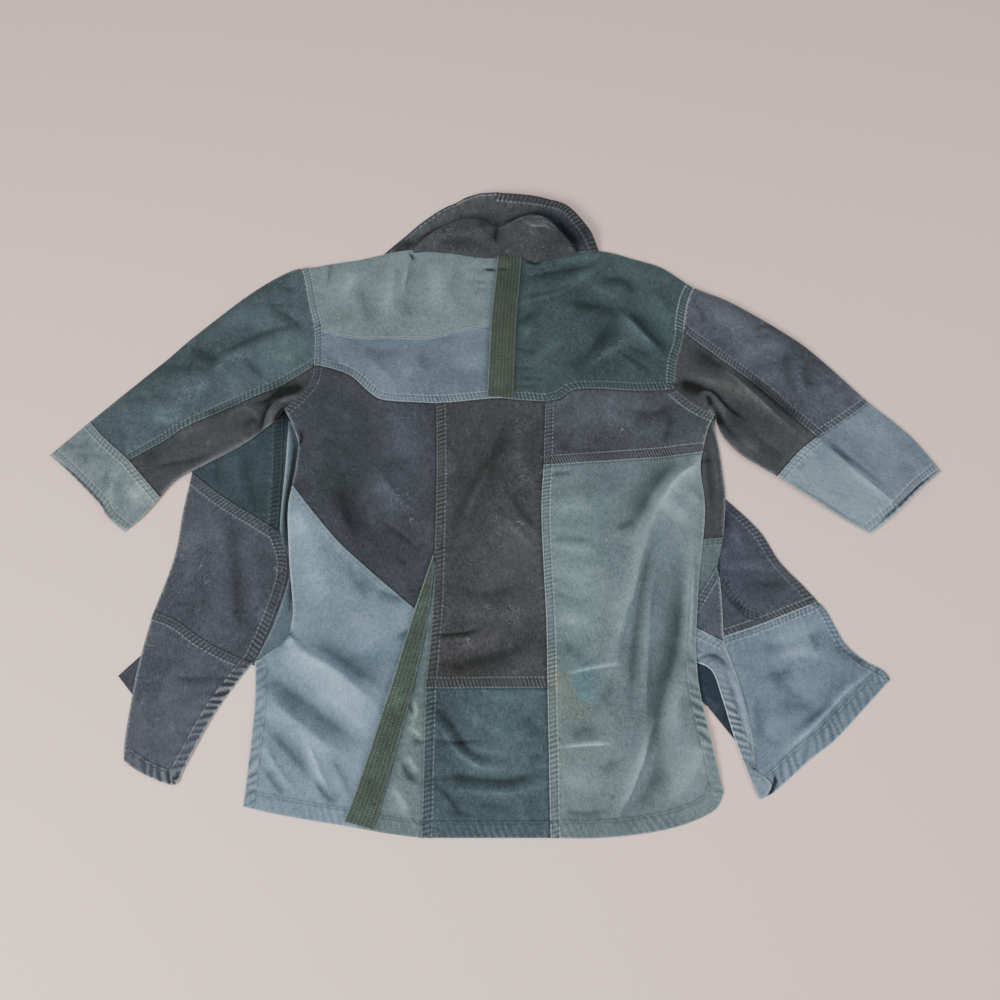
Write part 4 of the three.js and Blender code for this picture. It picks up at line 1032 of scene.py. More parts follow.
left_turned = [left_sleeve_top_fold, left_sleeve_low_fold, left_cuff_top_fold, left_cuff_low_fold]
LEFT_SLEEVE_FOLDS = [
    (-3.0, 8, -0.24, (-280, 236), (-320, 223), (-350, 209), (-380, 191), (-402, 176)),
    (-2.2, 17, -0.22, (-430, 196), (-402, 182), (-385, 164)),
    (2.4, 10, 0.08, (-345, 192), (-372, 180), (-390, 150)),
    (-2.0, 7, -0.18, (-322, 264), (-300, 250), (-285, 236), (-273, 222)),
    (-1.4, 5, -0.14, (-326, 266), (-298, 268)),
    (-1.0, 4, -0.14, (-312, 298), (-284, 290)),
    (2.0, 24, 0.12, (-335, 180), (-275, 190)),
    (-1.6, 7, -0.16, (-352, 188), (-342, 166), (-322, 148)),
    (-1.2, 8, -0.16, (-472, 166), (-430, 165), (-388, 158)),
    (-1.8, 7, -0.14, (-522, 110), (-475, 119), (-448, 117)),
    (1.6, 16, 0.12, (-445, 128), (-385, 138)),
    (1.4, 14, 0.12, (-480, 95), (-450, 85), (-420, 100)),
    (-1.2, 7, -0.12, (-520, 72), (-496, 50)),
    (0.0, 9, -0.16, (-310, 316), (-367, 271), (-473, 166), (-540, 98)),
    (1.4, 7, 0.05, (-440, 218), (-425, 200)),
    # The darkest troughs of the underarm are painted shade in its hollow.
    (-5.0, -10, -0.62, (-305, 112), (-293, 123), (-279, 126), (-264, 136)),
    (-2.0, 3.5, -0.34, (-332, 108), (-315, 113), (-305, 124), (-292, 134)),
    (2.6, 4.5, 0.20, (-304, 109), (-290, 113), (-276, 117), (-262, 122)),
    (-1.4, 3, -0.14, (-298, 108), (-284, 106)),
    (-3.0, 5, -0.70, (-290, 104), (-297, 94), (-304, 78)),
    (2.4, 6, 0.24, (-305, 107), (-307, 98), (-308, 84), (-313, 62)),
    (-2.2, -3.5, -0.55, (-304, 114), (-313, 100), (-317, 86), (-320, 62)),
    (-2.0, 6, -0.20, (-345, 75), (-330, 84), (-323, 74)),
    (1.6, 3.5, 0.12, (-363, 79), (-359, 92), (-344, 100), (-330, 93), (-324, 77)),
    (-2.0, 7, -0.16, (-405, 92), (-375, 100), (-345, 118)),
    (2.0, 10, 0.06, (-440, 58), (-405, 68), (-380, 80)),
    (-1.8, 5, -0.18, (-470, 8), (-435, 18), (-405, 24), (-372, 40)),
    (0.0, 3, 0.22, (-440, -22), (-420, -1), (-350, 44), (-318, 64)),
    (-1.4, 8, -0.18, (-480, 26), (-455, 36)),
    (-1.4, 5, -0.14, (-590, 52), (-570, 43), (-552, 46)),
    (-1.2, 4, -0.14, (-556, 28), (-550, 14)),
    (-1.2, 5, -0.12, (-575, 30), (-540, 30), (-520, 22)),
    (1.8, 5, 0.14, (-503, 14), (-511, -12), (-507, -44)),
    (-1.4, 6, -0.12, (-522, 10), (-525, -15)),
    (1.8, 13, 0.20, (-492, -18), (-470, -34)),
    (-1.2, 4, -0.10, (-480, -52), (-458, -44)),
    # A painted shade line inside the cuff's open end.
    (0.0, 2.2, -0.42, (-603, 31), (-572, 7), (-526, -36), (-510, -57), (-490, -73)),
]
left_sleeve_layer = Sleeve(
    armholes_left,
    left_turned,
    LEFT_SLEEVE_FOLDS,
    [
        Band(left_sleeve_seam, -1, 10, 6, pale=0.5, tone=-0.16),
        Band(left_cuff_seam_top, 1, 10, 6.5, pale=0.75),
        Band(left_cuff_seam_low, -1, 10, 7, pale=0.75),
        Band(left_cuff_hem, 1, 2, 9, pucker=0.03, pale=0.9, raised=0, rows=(), tone=0, ditch=0),
        Band(beside(left_cuff_hem, 1, 3.2, 4), 1, 9, 6.5, pale=0.6, rows=(7.5,), ditch=0, tone=-0.1),
    ],
    [
        ((0.86, 0.92, 0.82), 0.7, 22, (-310, 190), (-285, 186)),
        ((1.22, 1.24, 1.26), 0.6, 12, (-455, 92), (-445, 84)),
        ((1.16, 1.16, 1.14), 0.7, 14, (-480, -26), (-466, -38)),
    ],
    seed=17,
)

right_turned = [right_sleeve_top_fold, right_sleeve_low_fold, right_cuff_top_fold, right_cuff_low_fold]
RIGHT_SLEEVE_FOLDS = [
    (-1.8, 6, -0.18, (362, 226), (388, 232), (412, 224)),
    (-1.4, 5, -0.14, (368, 208), (385, 218), (402, 211)),
    (1.8, 18, 0.10, (310, 250), (345, 240), (350, 210)),
    (-2.2, 8, -0.13, (358, 164), (388, 170), (412, 180), (432, 186)),
    (-2.8, 9, -0.13, (413, 192), (410, 162), (418, 132), (414, 112)),
    (-1.6, 9, -0.14, (440, 175), (436, 150), (446, 128)),
    (1.8, 8, 0.08, (428, 170), (428, 140), (434, 118)),
    (1.6, 12, 0.08, (345, 190), (372, 190), (395, 200)),
    (-1.2, 5, -0.12, (442, 140), (462, 143), (482, 136)),
    (1.4, 12, 0.07, (455, 160), (470, 120)),
    (-1.2, 8, -0.10, (300, 215), (330, 200), (350, 175)),
    (0.0, 7, -0.08, (300, 288), (340, 267), (407, 221), (461, 175), (512, 112)),
    (-1.6, 6, -0.15, (288, 268), (300, 250), (298, 232)),
    (-2.4, 14, -0.30, (285, 195), (310, 172), (335, 155)),
    (5.0, 12, 0.13, (257, 146), (269, 153), (284, 148), (304, 139), (330, 134), (362, 110), (392, 80)),
    (0.0, 10, -0.14, (322, 98), (334, 78), (342, 60)),
    (-4.0, -10, -0.34, (342, 156), (368, 130), (394, 104), (430, 71)),
    # The darkest troughs of the underarm are painted shade in its hollow.
    (-6.0, 10, -0.62, (258, 141), (270, 139), (282, 135), (296, 129)),
    (-2.0, -2.6, -0.55, (288, 131), (304, 126), (314, 113), (328, 96), (344, 82)),
    (2.2, 3, 0.20, (322, 162), (336, 148), (348, 131), (378, 97), (412, 66)),
    (3.0, 6, 0.16, (282, 117), (288, 124), (294, 126), (301, 122), (309, 112), (316, 99), (322, 74)),
    (-3.2, 5, -0.26, (305, 100), (312, 84), (322, 64), (338, 46)),
    (-2.6, 4, -0.62, (295, 122), (298, 112), (302, 102)),
    (-2.6, 5, -0.60, (306, 99), (307, 85), (311, 72)),
    (-1.8, 8, -0.14, (352, 66), (376, 40), (398, 22)),
    (1.6, 8, 0.05, (340, 50), (365, 30)),
    (-1.8, 7, -0.18, (452, 48), (468, 34), (488, 12)),
    (1.4, 20, 0.08, (500, 70), (540, 60)),
    (-1.4, 14, -0.12, (548, 20), (572, 6)),
    (-1.2, 9, -0.08, (480, 60), (500, 20), (530, -15)),
    (1.4, 10, 0.10, (412, 26), (436, 40)),
    (-1.2, 3, -0.12, (408, 10), (422, 18)),
    (-1.2, 3, -0.10, (448, -20), (470, -30)),
    (0.0, 3, -0.18, (390, -4), (462, -54), (495, -76)),
    # A painted shade line inside the cuff's open end.
    (0.0, 2.6, -0.42, (598, 5), (569, -15), (537, -44), (520, -58), (499, -76)),
    (3.0, 5, 0.10, (446, 48), (482, 12), (525, -32), (538, -46)),
    (-2.6, 5, -0.20, (452, 56), (490, 18), (532, -24)),
]
right_sleeve_layer = Sleeve(
    armholes_right,
    right_turned,
    RIGHT_SLEEVE_FOLDS,
    [
        Band(right_sleeve_seam, 1, 11, 5, pucker=0.4, pale=0.5, tone=-0.16),
        Band(right_cuff_seam_top, 1, 9, 6, pale=0.5),
        Band(right_cuff_seam_low, 1, 10, 6.5, pale=0.6),
        Band(right_cuff_hem, -1, 2, 9, pucker=0.03, pale=1.0, raised=0, rows=(), tone=0, ditch=0),
        Band(right_cuff_fold_hem, -1, 2, 9, pucker=0.03, pale=1.0, raised=0, rows=(), tone=0, ditch=0),
        Band(beside(right_cuff_hem, -1, 6, 4), -1, 9, 6, pale=0.7, rows=(7.5,), ditch=0),
        Band(beside(right_cuff_fold_hem, -1, 6, 4), -1, 9, 6, pale=0.7, rows=(7.5,), ditch=0),
    ],
    [
        ((0.84, 0.86, 0.80), 0.7, 14, (300, 290), (380, 245), (450, 190)),
        ((1.02, 1.05, 0.94), 0.8, 16, (300, 148), (350, 120)),
    ],
    seed=19,
)


# ---------------------------------------------------------------- collar

def neck_y(x):
    """The neck edge of the yoke at a place across the collar."""
    edge = np.vstack([shoulder_left, shoulder_right])
    return np.interp(x, edge[:, 0], edge[:, 1])


def foot_between(low, high):
    """The collar's foot from right to left, a little under the yoke's neck edge."""
    under = 6
    x = evenly(np.array([(high, 0), (low, 0)]), EDGE_STEP)[:, 0]
    return np.column_stack([x, neck_y(x) - under])


def crest_y(x):
    """The crest of the stand at a place across the collar."""
    crest = np.vstack([stand_crest_left, stand_crest_right])
    return np.interp(x, crest[:, 0], crest[:, 1])


def stand_base(points):
    """Height of the stand, which rises from the neck seam and rolls over at its crest."""
    x, y = points.T
    low = neck_y(x) - 7
    share = np.clip((y - low) / np.maximum(crest_y(x) - low, 4), 0, 1)
    stand_rise = 24
    ends = np.maximum(0, 1 - (x / 134) ** 4) * (1 - 0.42 * np.exp(-(((x - 6) / 17) ** 2)))
    turn_at = 0.74
    up = np.sin(0.5 * math.pi * np.clip(share / turn_at, 0, 1))
    over = np.clip((share - turn_at) / (1 - turn_at), 0, 1)
    return 3.0 + stand_rise * ends * (up - 0.38 * over**2)


STAND_FOLDS = [
    (-2.0, 7, -0.22, (6, 400), (3, 385), (-4, 372)),
    (-1.5, 8, -0.16, (-10, 400), (-20, 394), (-14, 385)),
    (1.6, 8, 0.08, (-60, 372), (-35, 378), (-20, 388)),
    (-1.6, 8, -0.15, (-70, 368), (-45, 370), (-15, 362)),
    (1.4, 8, 0.08, (35, 392), (60, 398), (82, 392)),
    (-1.2, 10, -0.12, (90, 380), (105, 372)),
    (1.0, 3, 0.30, (58, 403), (70, 407), (84, 403)),
    (-0.4, 1.5, -0.24, (3, 400), (1, 385), (0, 356)),
    (0.5, 1.6, 0.60, (48, 393), (60, 389), (74, 391), (82, 387)),
    (0.5, 1.5, 0.50, (66, 399), (78, 397), (88, 392)),
    (0.5, 1.5, 0.40, (28, 398), (38, 403), (47, 401)),
    (1.0, 6, 0.12, (14, 394), (26, 396)),
    (0.8, 4, 0.18, (-20, 378), (-18, 386)),
    (1.0, 5, 0.10, (0, 372), (4, 362)),
]
LEAF_FOLDS = [
    # The folds of no height are painted shadow that the stand's crest casts onto the leaf.
    (0.0, 6, -0.36, (-128, 370), (-100, 392), (-66, 410), (-34, 417), (0, 411)),
    (0.0, 7, -0.30, (6, 412), (24, 418), (52, 428), (80, 424)),
    (-1.5, 12, -0.32, (82, 420), (102, 400), (120, 378), (132, 366)),
    (3.0, 9, 0.10, (-88, 412), (-66, 428), (-48, 438)),
    (-1.6, 4, -0.40, (-72, 441), (-48, 454)),
    (1.6, 3, 0.22, (-60, 438), (-46, 447), (-43, 455)),
    (2.4, 9, 0.12, (-36, 446), (-6, 452), (14, 446)),
    (1.6, 10, 0.06, (-110, 392), (-92, 408)),
    (0.0, 12, -0.30, (-158, 366), (-130, 378), (-118, 372)),
]


def leaf_base(points):
    """Height of the leaf, which curls up along its rim on the right."""
    x, y = points.T
    curl = 14
    rim = np.hypot((x - 5) / 155, (y - LEAF_FOOT) / 116)
    return 2.6 + curl * rise(rim, 0.72, 1) * rise(x, -120, 60) * rise(y, 348, 392)


leaf_layer = Layer(
    leaf_base,
    LEAF_FOLDS,
    [
        Band(leaf_rim_left, -1, 6, 9, pucker=0.3, pale=0.55, rows=(4.0,), raised=0.9),
        Band(leaf_rim_right, -1, 13, 6.5, pucker=0.5, pale=0.6, rows=(3, 10.5), raised=1.4, tone=-0.24),
    ],
    # Painted shade, tinted navy, in the hollow between the stand's crest and the leaf's rim.
    [((0.62, 0.74, 0.96), 0.8, 15, (84, 420), (104, 400), (126, 372))],
    [(leaf_rim_left, 3.5, 1.6), (leaf_rim_right, 4, 2.0)],
    seed=23,
    uneven=0.5,
)
stand_layer = Layer(
    stand_base,
    STAND_FOLDS,
    tint_patches=[((0.92, 0.94, 1.0), 0.6, 20, (-60, 390), (-20, 395))],
    edges=[(stand_crest_left, 6, 7.0), (stand_crest_right, 6, 8.0)],
    seed=29,
    uneven=0.6,
)


# ---------------------------------------------------------------- cutting and sewing

def ring_of(edges):
    """The closed outline that a piece's edges make, anticlockwise, each turned to go on from the last."""
    places = np.array(edges[0])
    for edge in edges[1:]:
        to_start, to_end = np.hypot(*(edge[[0, -1]] - places[-1]).T)
        places = np.vstack([places, edge[::-1] if to_end < to_start else edge])
    ring = []
    for here, following in zip(places, np.roll(places, -1, axis=0)):
        gap = float(np.hypot(*(following - here)))
        if gap < JOIN:
            continue
        steps = np.linspace(0, 1, max(1, round(gap / EDGE_STEP)), endpoint=False)[:, None]
        ring.extend(here + (following - here) * steps)
    ring = np.array(ring)
    return ring if area_of(ring) > 0 else ring[::-1]


def area_of(ring):
    """The area of a ring, negative where it runs clockwise."""
    x, y = ring.T
    return 0.5 * float((x * np.roll(y, -1) - np.roll(x, -1) * y).sum())


def inside(points, ring):
    """Which points lie inside a ring."""
    x, y = points.T
    odd = np.zeros(len(points), bool)
    for (x0, y0), (x1, y1) in zip(ring, np.roll(ring, -1, axis=0)):
        crossed = (y0 > y) != (y1 > y)
        odd[crossed] ^= x[crossed] < (x1 - x0) * (y[crossed] - y0) / (y1 - y0) + x0
    return odd


def kept_inside(points, ring, gap):
    """The points inside a ring and further than a gap from every point of it."""
    points = points[inside(points, ring)]
    clear = np.ones(len(points), bool)
    batch = 2000
    for i in range(0, len(points), batch):
        part = points[i:i + batch]
        nearest = ((part[:, None] - ring) ** 2).sum(2).min(1)
        clear[i:i + batch] = nearest > gap * gap
    return points[clear]


def rows_by(lines, offsets):
    """Rows of points on both sides of the lines where cloth turns over."""
    return [beside(line, side, offset, EDGE_STEP) for line in lines for offset in offsets for side in (-1, 1)]


def fill_points(ring, layer, pitch, turned=()):
    """Points inside a piece: rows along its seams and turned edges, and an even lattice between them."""
    rows = []
    low = ring.min(0)
    high = ring.max(0)
    bands = [b for b in layer.bands if near_box(ring, b.line, b.width).any()]
    for band in bands:
        step = band.period / 5
        offsets = np.arange(2.9, band.width - 2.2, 1.7)
        for offset in [-1.1, 0.8, 1.8, *offsets, band.width - 1.8, band.width - 0.3, band.width + 1.5]:
            rows.append(beside(band.edge, band.side, offset, step))
    strong, narrow = 0.15, 14
    for fold in layer.folds:
        if abs(fold.shade) > strong and fold.width < narrow and near_box(ring, fold.line, 0).any():
            step = max(2.6, 0.45 * fold.width)
            for share in (-1.2, -0.5, 0, 0.3, 0.75):
                rows.append(beside(fold.line, fold.steep, share * fold.width, step))
    rows += rows_by(turned, (0.4, 1.1, 2.2, 3.6))
    rows = np.vstack(rows) if rows else np.zeros((0, 2))
    rows = kept_inside(rows[near_box(ring, rows, 0)], ring, 0.55)
    across, up = np.meshgrid(
        np.arange(low[0] + pitch / 2, high[0], pitch),
        np.arange(low[1] + pitch / 2, high[1], pitch * math.sqrt(0.75)),
    )
    across[1::2] += pitch / 2
    lattice = kept_inside(np.column_stack([across.ravel(), up.ravel()]), ring, 0.6 * pitch)
    for band in bands:
        near = near_box(band.line, lattice, band.width + 3)
        if near.any():
            d, _, past = band.across(lattice[near])
            keep = ~near
            keep[near] = (d < -2.2) | (d > band.width + 2.6) | (past > 0)
            lattice = lattice[keep]
    if len(turned):
        lattice = lattice[distance_to(turned, lattice) > 4.6]
    return np.vstack([rows, lattice])


def triangles_of(ring, filling):
    """Triangles over a piece's outline and the points inside it, anticlockwise from above."""
    points = np.vstack([ring, filling])
    flat = [Vector(p) for p in points.tolist()]
    found = delaunay_2d_cdt(flat, [], [list(range(len(ring)))], 1, 1e-5)
    source = [names[0] if names else -1 for names in found[3]]
    faces = np.array([[source[i] for i in face] for face in found[2] if len(face) == 3])
    if (faces < 0).any():
        raise RuntimeError("An outline crosses itself, so its piece can't be cut")
    a, b, c = (points[faces[:, i]] for i in range(3))
    turn = (b[:, 0] - a[:, 0]) * (c[:, 1] - a[:, 1]) - (b[:, 1] - a[:, 1]) * (c[:, 0] - a[:, 0])
    faces[turn < 0] = faces[turn < 0][:, ::-1]
    return points, faces[np.abs(turn) > 1e-6]


def normals_of(places, faces):
    """The direction square to the cloth at each place, from the faces that meet there."""
    a, b, c = (places[faces[:, i]] for i in range(3))
    across = np.cross(b - a, c - a)
    normals = np.zeros_like(places)
    for i in range(3):
        np.add.at(normals, faces[:, i], across)
    return normals / np.maximum(np.linalg.norm(normals, axis=1), 1e-9)[:, None]


def walled(places, faces, thickness):
    """A closed wall of cloth behind an open surface. Also gives the corners where its edges are sharp."""
    used = np.unique(faces)
    renamed = np.full(len(places), -1)
    renamed[used] = np.arange(len(used))
    places = places[used]
    faces = renamed[faces]
    count = len(places)
    inner = places - thickness * normals_of(places, faces)
    inner[:, 2] = np.maximum(inner[:, 2], 0)
    sides = np.vstack([faces[:, [0, 1]], faces[:, [1, 2]], faces[:, [2, 0]]])
    known = {(a, b) for a, b in sides.tolist()}
    rim = np.array([(a, b) for a, b in sides.tolist() if (b, a) not in known])
    a, b = rim.T
    skirt = np.vstack([np.column_stack([b, a, a + count]), np.column_stack([b, a + count, b + count])])
    closed = np.vstack([faces, faces[:, ::-1] + count, skirt])
    return np.vstack([places, inner]), closed, used, rim


def cloth_mesh(name, places, faces, tone, wear_and_shade, rim, grained, slot):
    """A mesh in metres with its tone and wear as attributes, both carrying painted shade and highlights, and
    its weave laid along the grain.
    """
    mesh = bpy.data.meshes.new(name)
    mesh.from_pydata(((places + DATUM) * MM).tolist(), [], faces.tolist())
    mesh.materials.append(slot_material(slot, cloth_shader))
    mesh.shade_smooth()
    tone_layer = mesh.attributes.new("tone", "FLOAT_COLOR", "POINT")
    rgba = np.column_stack([tone, np.ones(len(tone))])
    tone_layer.data.foreach_set("color", rgba.astype(np.float32).ravel())
    wear_and_shade_layer = mesh.attributes.new("wear_and_shade", "FLOAT", "POINT")
    wear_and_shade_layer.data.foreach_set("value", wear_and_shade.astype(np.float32))
    corner = np.zeros(len(mesh.loops), np.int32)
    mesh.loops.foreach_get("vertex_index", corner)
    uv = mesh.uv_layers.new(name="UVMap")
    uv.data.foreach_set("uv", (grained[corner] * MM).astype(np.float32).ravel())
    ends = np.zeros(2 * len(mesh.edges), np.int32)
    mesh.edges.foreach_get("vertices", ends)
    count = len(places) // 2
    sharp_pairs = {(min(a, b), max(a, b)) for a, b in rim.tolist()}
    sharp_pairs |= {(a + count, b + count) for a, b in sharp_pairs}
    pairs = np.sort(ends.reshape(-1, 2), axis=1).tolist()
    sharp = np.array([(a, b) in sharp_pairs for a, b in pairs])
    edge_layer = mesh.attributes.new("sharp_edge", "BOOLEAN", "EDGE")
    edge_layer.data.foreach_set("value", sharp)
    mesh.update()
    return mesh


def along_grain(points, grain):
    """The points turned so that the cloth's grain, which is given in degrees, runs up."""
    angle = math.radians(grain)
    turn = np.array([[math.cos(angle), -math.sin(angle)], [math.sin(angle), math.cos(angle)]])
    return points @ turn


def placed(name, data):
    """A new object in the scene."""
    item = bpy.data.objects.new(name, data)
    bpy.context.scene.collection.objects.link(item)
    return item


# How each panel differs from the cloth that it shares with others: its fading, and for side_left and
# front_left_upper, which lie in shadow, painted shade as well.
FADING_AND_SHADE = {
    "sleeve_left_cuff": (0.93, 0.90, 0.87),
    "back_sliver": (0.72, 0.74, 0.72),
    "side_right_middle": (0.56, 0.55, 0.53),
    "yoke_left_lower": (0.96, 0.94, 0.93),
    "front_right_lower": (1.06, 1.08, 1.10),
    "side_right_facing": (1.20, 1.20, 1.17),
    "sleeve_right_cuff": (1.20, 1.13, 1.13),
    "back_left_upper": (0.78, 0.78, 0.75),
    "back_right_upper": (1.16, 1.17, 1.10),
    "front_left_turned_edge": (0.83, 0.78, 0.80),
    "side_right_lower": (1.28, 1.30, 1.31),
    "sleeve_right_upper": (1.38, 1.40, 1.38),
    "side_left": (0.37, 0.36, 0.355),
    "sleeve_right_cuff_fold": (1.24, 1.18, 1.13),
    "back_centre_lower": (0.96, 0.96, 0.97),
    "front_left_upper": (0.54, 0.56, 0.57),
    "sleeve_left_upper": (1.12, 1.05, 1.04),
    "collar_leaf_left": (1.2, 1.2, 1.22),
    "collar_leaf_right": (1.05, 1.02, 1.08),
    "collar_stand_left": (1.1, 1.12, 1.14),
    "collar_stand_right": (1.08, 1.09, 1.12),
    "yoke_tape": (0.95, 0.91, 1.0),
    "back_tape": (1.02, 0.99, 1.14),
    "sleeve_left_under": (0.86, 0.85, 0.86),
    "sleeve_right_under": (1.1, 1.07, 1.1),
}
BACK_LIES_ON = ["front_left_chest", "front_right_chest"]


def cut(node, slot, layer, edges, grain=0, turned=(), thickness=None, held="laid",
        rests_on=BACK_LIES_ON, pitch=None, weave=None):
    """Cuts one piece of cloth, gives it its wall, material and place, and stands it for its solid."""
    sizes = bpy.context.scene.jacket_sizes
    ring = ring_of(edges)
    pitch = (pitch or sizes.mesh_pitch) / MM
    points, faces = triangles_of(ring, fill_points(ring, layer, pitch, turned))
    z, tone, wear_and_shade = layer.look(points)
    tone = tone * FADING_AND_SHADE.get(node, 1.0)
    places = np.column_stack([points, z])
    if len(turned):
        under_pitch = sizes.under_pitch / MM
        low_points, low_faces = triangles_of(ring, fill_under(ring, under_pitch, turned))
        low = np.column_stack([low_points, layer.under(low_points)])
        on_fold = np.flatnonzero(distance_to(turned, ring, None) < ON_LINE)
        names = np.arange(len(low)) + len(places)
        names[on_fold] = on_fold
        faces = np.vstack([faces, names[low_faces][:, ::-1]])
        places = np.vstack([places, low])
        tone = np.vstack([tone, np.ones((len(low), 3))])
        wear_and_shade = np.concatenate([wear_and_shade, np.zeros(len(low))])
    wall = (thickness or sizes.cloth) / MM
    solid, closed, used, rim = walled(places, faces, wall)
    tone = np.vstack([tone[used], tone[used]])
    wear_and_shade = np.concatenate([wear_and_shade[used], wear_and_shade[used]])
    flat_places = solid[:, :2]
    grained = np.column_stack(weave(flat_places)) if weave else along_grain(flat_places, grain)
    mesh = cloth_mesh("cloth_" + node, solid, closed, tone, wear_and_shade, rim, grained, slot)
    piece = placed("cloth_" + node, mesh)
    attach(piece, "root")
    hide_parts(node)
    return piece


def fill_under(ring, pitch, turned):
    """A coarse filling for the wall that lies below, with close rows beside its turned edges."""
    rows = kept_inside(np.vstack(rows_by(turned, (0.4, 1.2, 2.6))), ring, 0.35)
    low = ring.min(0)
    high = ring.max(0)
    across, up = np.meshgrid(np.arange(low[0], high[0], pitch), np.arange(low[1], high[1], pitch))
    lattice = kept_inside(np.column_stack([across.ravel(), up.ravel()]), ring, 0.6 * pitch)
    return np.vstack([rows, lattice])


# ---------------------------------------------------------------- shader groups

class Nodes:
    """Adds nodes to a tree and links what feeds them."""

    def __init__(self, tree):
        self.tree = tree

    def add(self, kind, inputs=(), **settings):
        node = self.tree.nodes.new(kind)
        for key, value in settings.items():
            setattr(node, key, value)
        return self.feed(node, inputs)

    def feed(self, node, inputs):
        """Links sockets to a node's inputs, and sets the inputs that are given as numbers."""
        for key, value in dict(inputs).items():
            if isinstance(value, bpy.types.NodeSocket):
                self.tree.links.new(value, node.inputs[key])
            else:
                node.inputs[key].default_value = value
        return node

    def group(self, name, make, inputs=()):
        """One of the shader groups, which is built the first time that it is used."""
        tree = bpy.data.node_groups.get(name) or make(name)
        return self.add("ShaderNodeGroup", inputs, node_tree=tree).outputs

    def maths(self, operation, *values, clamp=False):
        return self.add("ShaderNodeMath", enumerate(values), operation=operation, use_clamp=clamp).outputs[0]

    def times(self, first, second):
        return self.maths("MULTIPLY", first, second)

    def total(self, first, *others):
        for value in others:
            first = self.maths("ADD", first, value)
        return first

    def wave(self, turns):
        return self.maths("SINE", self.times(turns, 2 * math.pi))

    def fold(self, value):
        """How far a value is from one half, which makes creases of a noise."""
        return self.maths("ABSOLUTE", self.maths("SUBTRACT", value, 0.5))

    def grey(self, value):
        return self.add("ShaderNodeCombineColor", {0: value, 1: value, 2: value}).outputs[0]

    def noise(self, place, scale, detail=2.0, roughness=0.5, distortion=0.0):
        feed = {"Vector": place, "Scale": scale, "Detail": detail, "Roughness": roughness,
                "Distortion": distortion}
        return self.add("ShaderNodeTexNoise", feed).outputs[0]

    def mix(self, factor, first, second, blend="MIX"):
        feed = {0: factor, 6: first, 7: second}
        return self.add("ShaderNodeMix", feed, data_type="RGBA", blend_type=blend).outputs[2]

    def spread(self, value, low, high, to_low=0.0, to_high=1.0):
        feed = {"Value": value, "From Min": low, "From Max": high, "To Min": to_low, "To Max": to_high}
        return self.add("ShaderNodeMapRange", feed).outputs[0]


def new_group(name, kind, inputs, outputs):
    """An empty group with named sockets, as its nodes, its inputs and its output node."""
    group = bpy.data.node_groups.new(name, kind)
    for way, sockets in (("INPUT", inputs), ("OUTPUT", outputs)):
        for socket, value in sockets.items():
            group.interface.new_socket(name=socket, in_out=way, socket_type="NodeSocket" + value)
    nodes = Nodes(group)
    return nodes, nodes.add("NodeGroupInput").outputs, nodes.add("NodeGroupOutput")


def dye_wear_and_shade_group(name):
    """Dye with fading in patches and on ridges, painted highlight on seam crests, painted shade in troughs,
    flecks from its yarns, and a tone that multiplies in painted shade, painted highlights and stained
    patches.
    """
    inputs = {"Place": "Vector", "Grain": "Vector", "Dye": "Color", "Faded": "Color", "Trough shade": "Color",
              "Rub": "Float", "Tone": "Color", "Mottle": "Float", "Fleck": "Float"}
    outputs = {"Color": "Color", "Paleness": "Float"}
    nodes, given, out = new_group(name, "ShaderNodeTree", inputs, outputs)
    place = given["Place"]
    clouds = nodes.noise(place, 6.5, 2.0, 0.5, 0.6)
    patches = nodes.noise(place, 30.0, 2.0, 0.5, 0.9)
    grains = nodes.noise(place, 620.0, 2.0, 0.6)
    blots = nodes.noise(place, 210.0, 3.0, 0.6, 0.8)
    slubs = {0: given["Grain"], 1: (900.0, 110.0, 1.0)}
    slubs = nodes.add("ShaderNodeVectorMath", slubs, operation="MULTIPLY").outputs[0]
    threads = nodes.noise(slubs, 1.0, 1.0, 0.5)
    uneven = nodes.total(nodes.spread(clouds, 0.30, 0.70, -0.7, 0.7),
                         nodes.spread(patches, 0.30, 0.70, -0.32, 0.32))
    fleck = nodes.total(nodes.spread(grains, 0.3, 0.7, -0.8, 0.8),
                        nodes.spread(threads, 0.3, 0.7, -0.55, 0.55),
                        nodes.spread(blots, 0.32, 0.68, -0.62, 0.62))
    change = nodes.total(nodes.times(uneven, given["Mottle"]), nodes.times(fleck, given["Fleck"]), 1.0)
    colour = nodes.mix(1.0, given["Dye"], nodes.grey(change), "MULTIPLY")
    # Painted shade darkens the troughs, stitch grooves and ditches, where the wear and shade attribute is
    # below zero.
    trough = nodes.maths("MULTIPLY", nodes.maths("MINIMUM", given["Rub"], 0.0), -1.0, clamp=True)
    colour = nodes.mix(trough, colour, given["Trough shade"])
    # Where it is above zero the cloth pales with wear, and with painted highlight on the crests of seams and
    # puckers.
    ridge = nodes.times(nodes.maths("MAXIMUM", given["Rub"], 0.0), nodes.spread(grains, 0.34, 0.60, 0.5, 1.2))
    spots = nodes.times(nodes.spread(patches, 0.54, 0.74), nodes.spread(grains, 0.46, 0.66))
    line = nodes.fold(nodes.noise(place, 55.0, 1.0, 0.5, 1.2))
    few = nodes.spread(nodes.noise(place, 38.0, 2.0), 0.54, 0.66)
    hairs = nodes.times(nodes.times(nodes.spread(line, 0.014, 0.0), few), given["Fleck"])
    fade_and_highlight = nodes.total(nodes.times(spots, 0.12), ridge)
    fade_and_highlight = nodes.maths("ADD", fade_and_highlight, hairs, clamp=True)
    colour = nodes.mix(fade_and_highlight, colour, given["Faded"])
    # The tone multiplies in the folds' painted shade and highlights, the stained patches, the painted shadows
    # and highlights, and each panel's fading and painted shade.
    colour = nodes.mix(1.0, colour, given["Tone"], "MULTIPLY")
    nodes.feed(out, {"Color": colour, "Paleness": fade_and_highlight})
    return nodes.tree


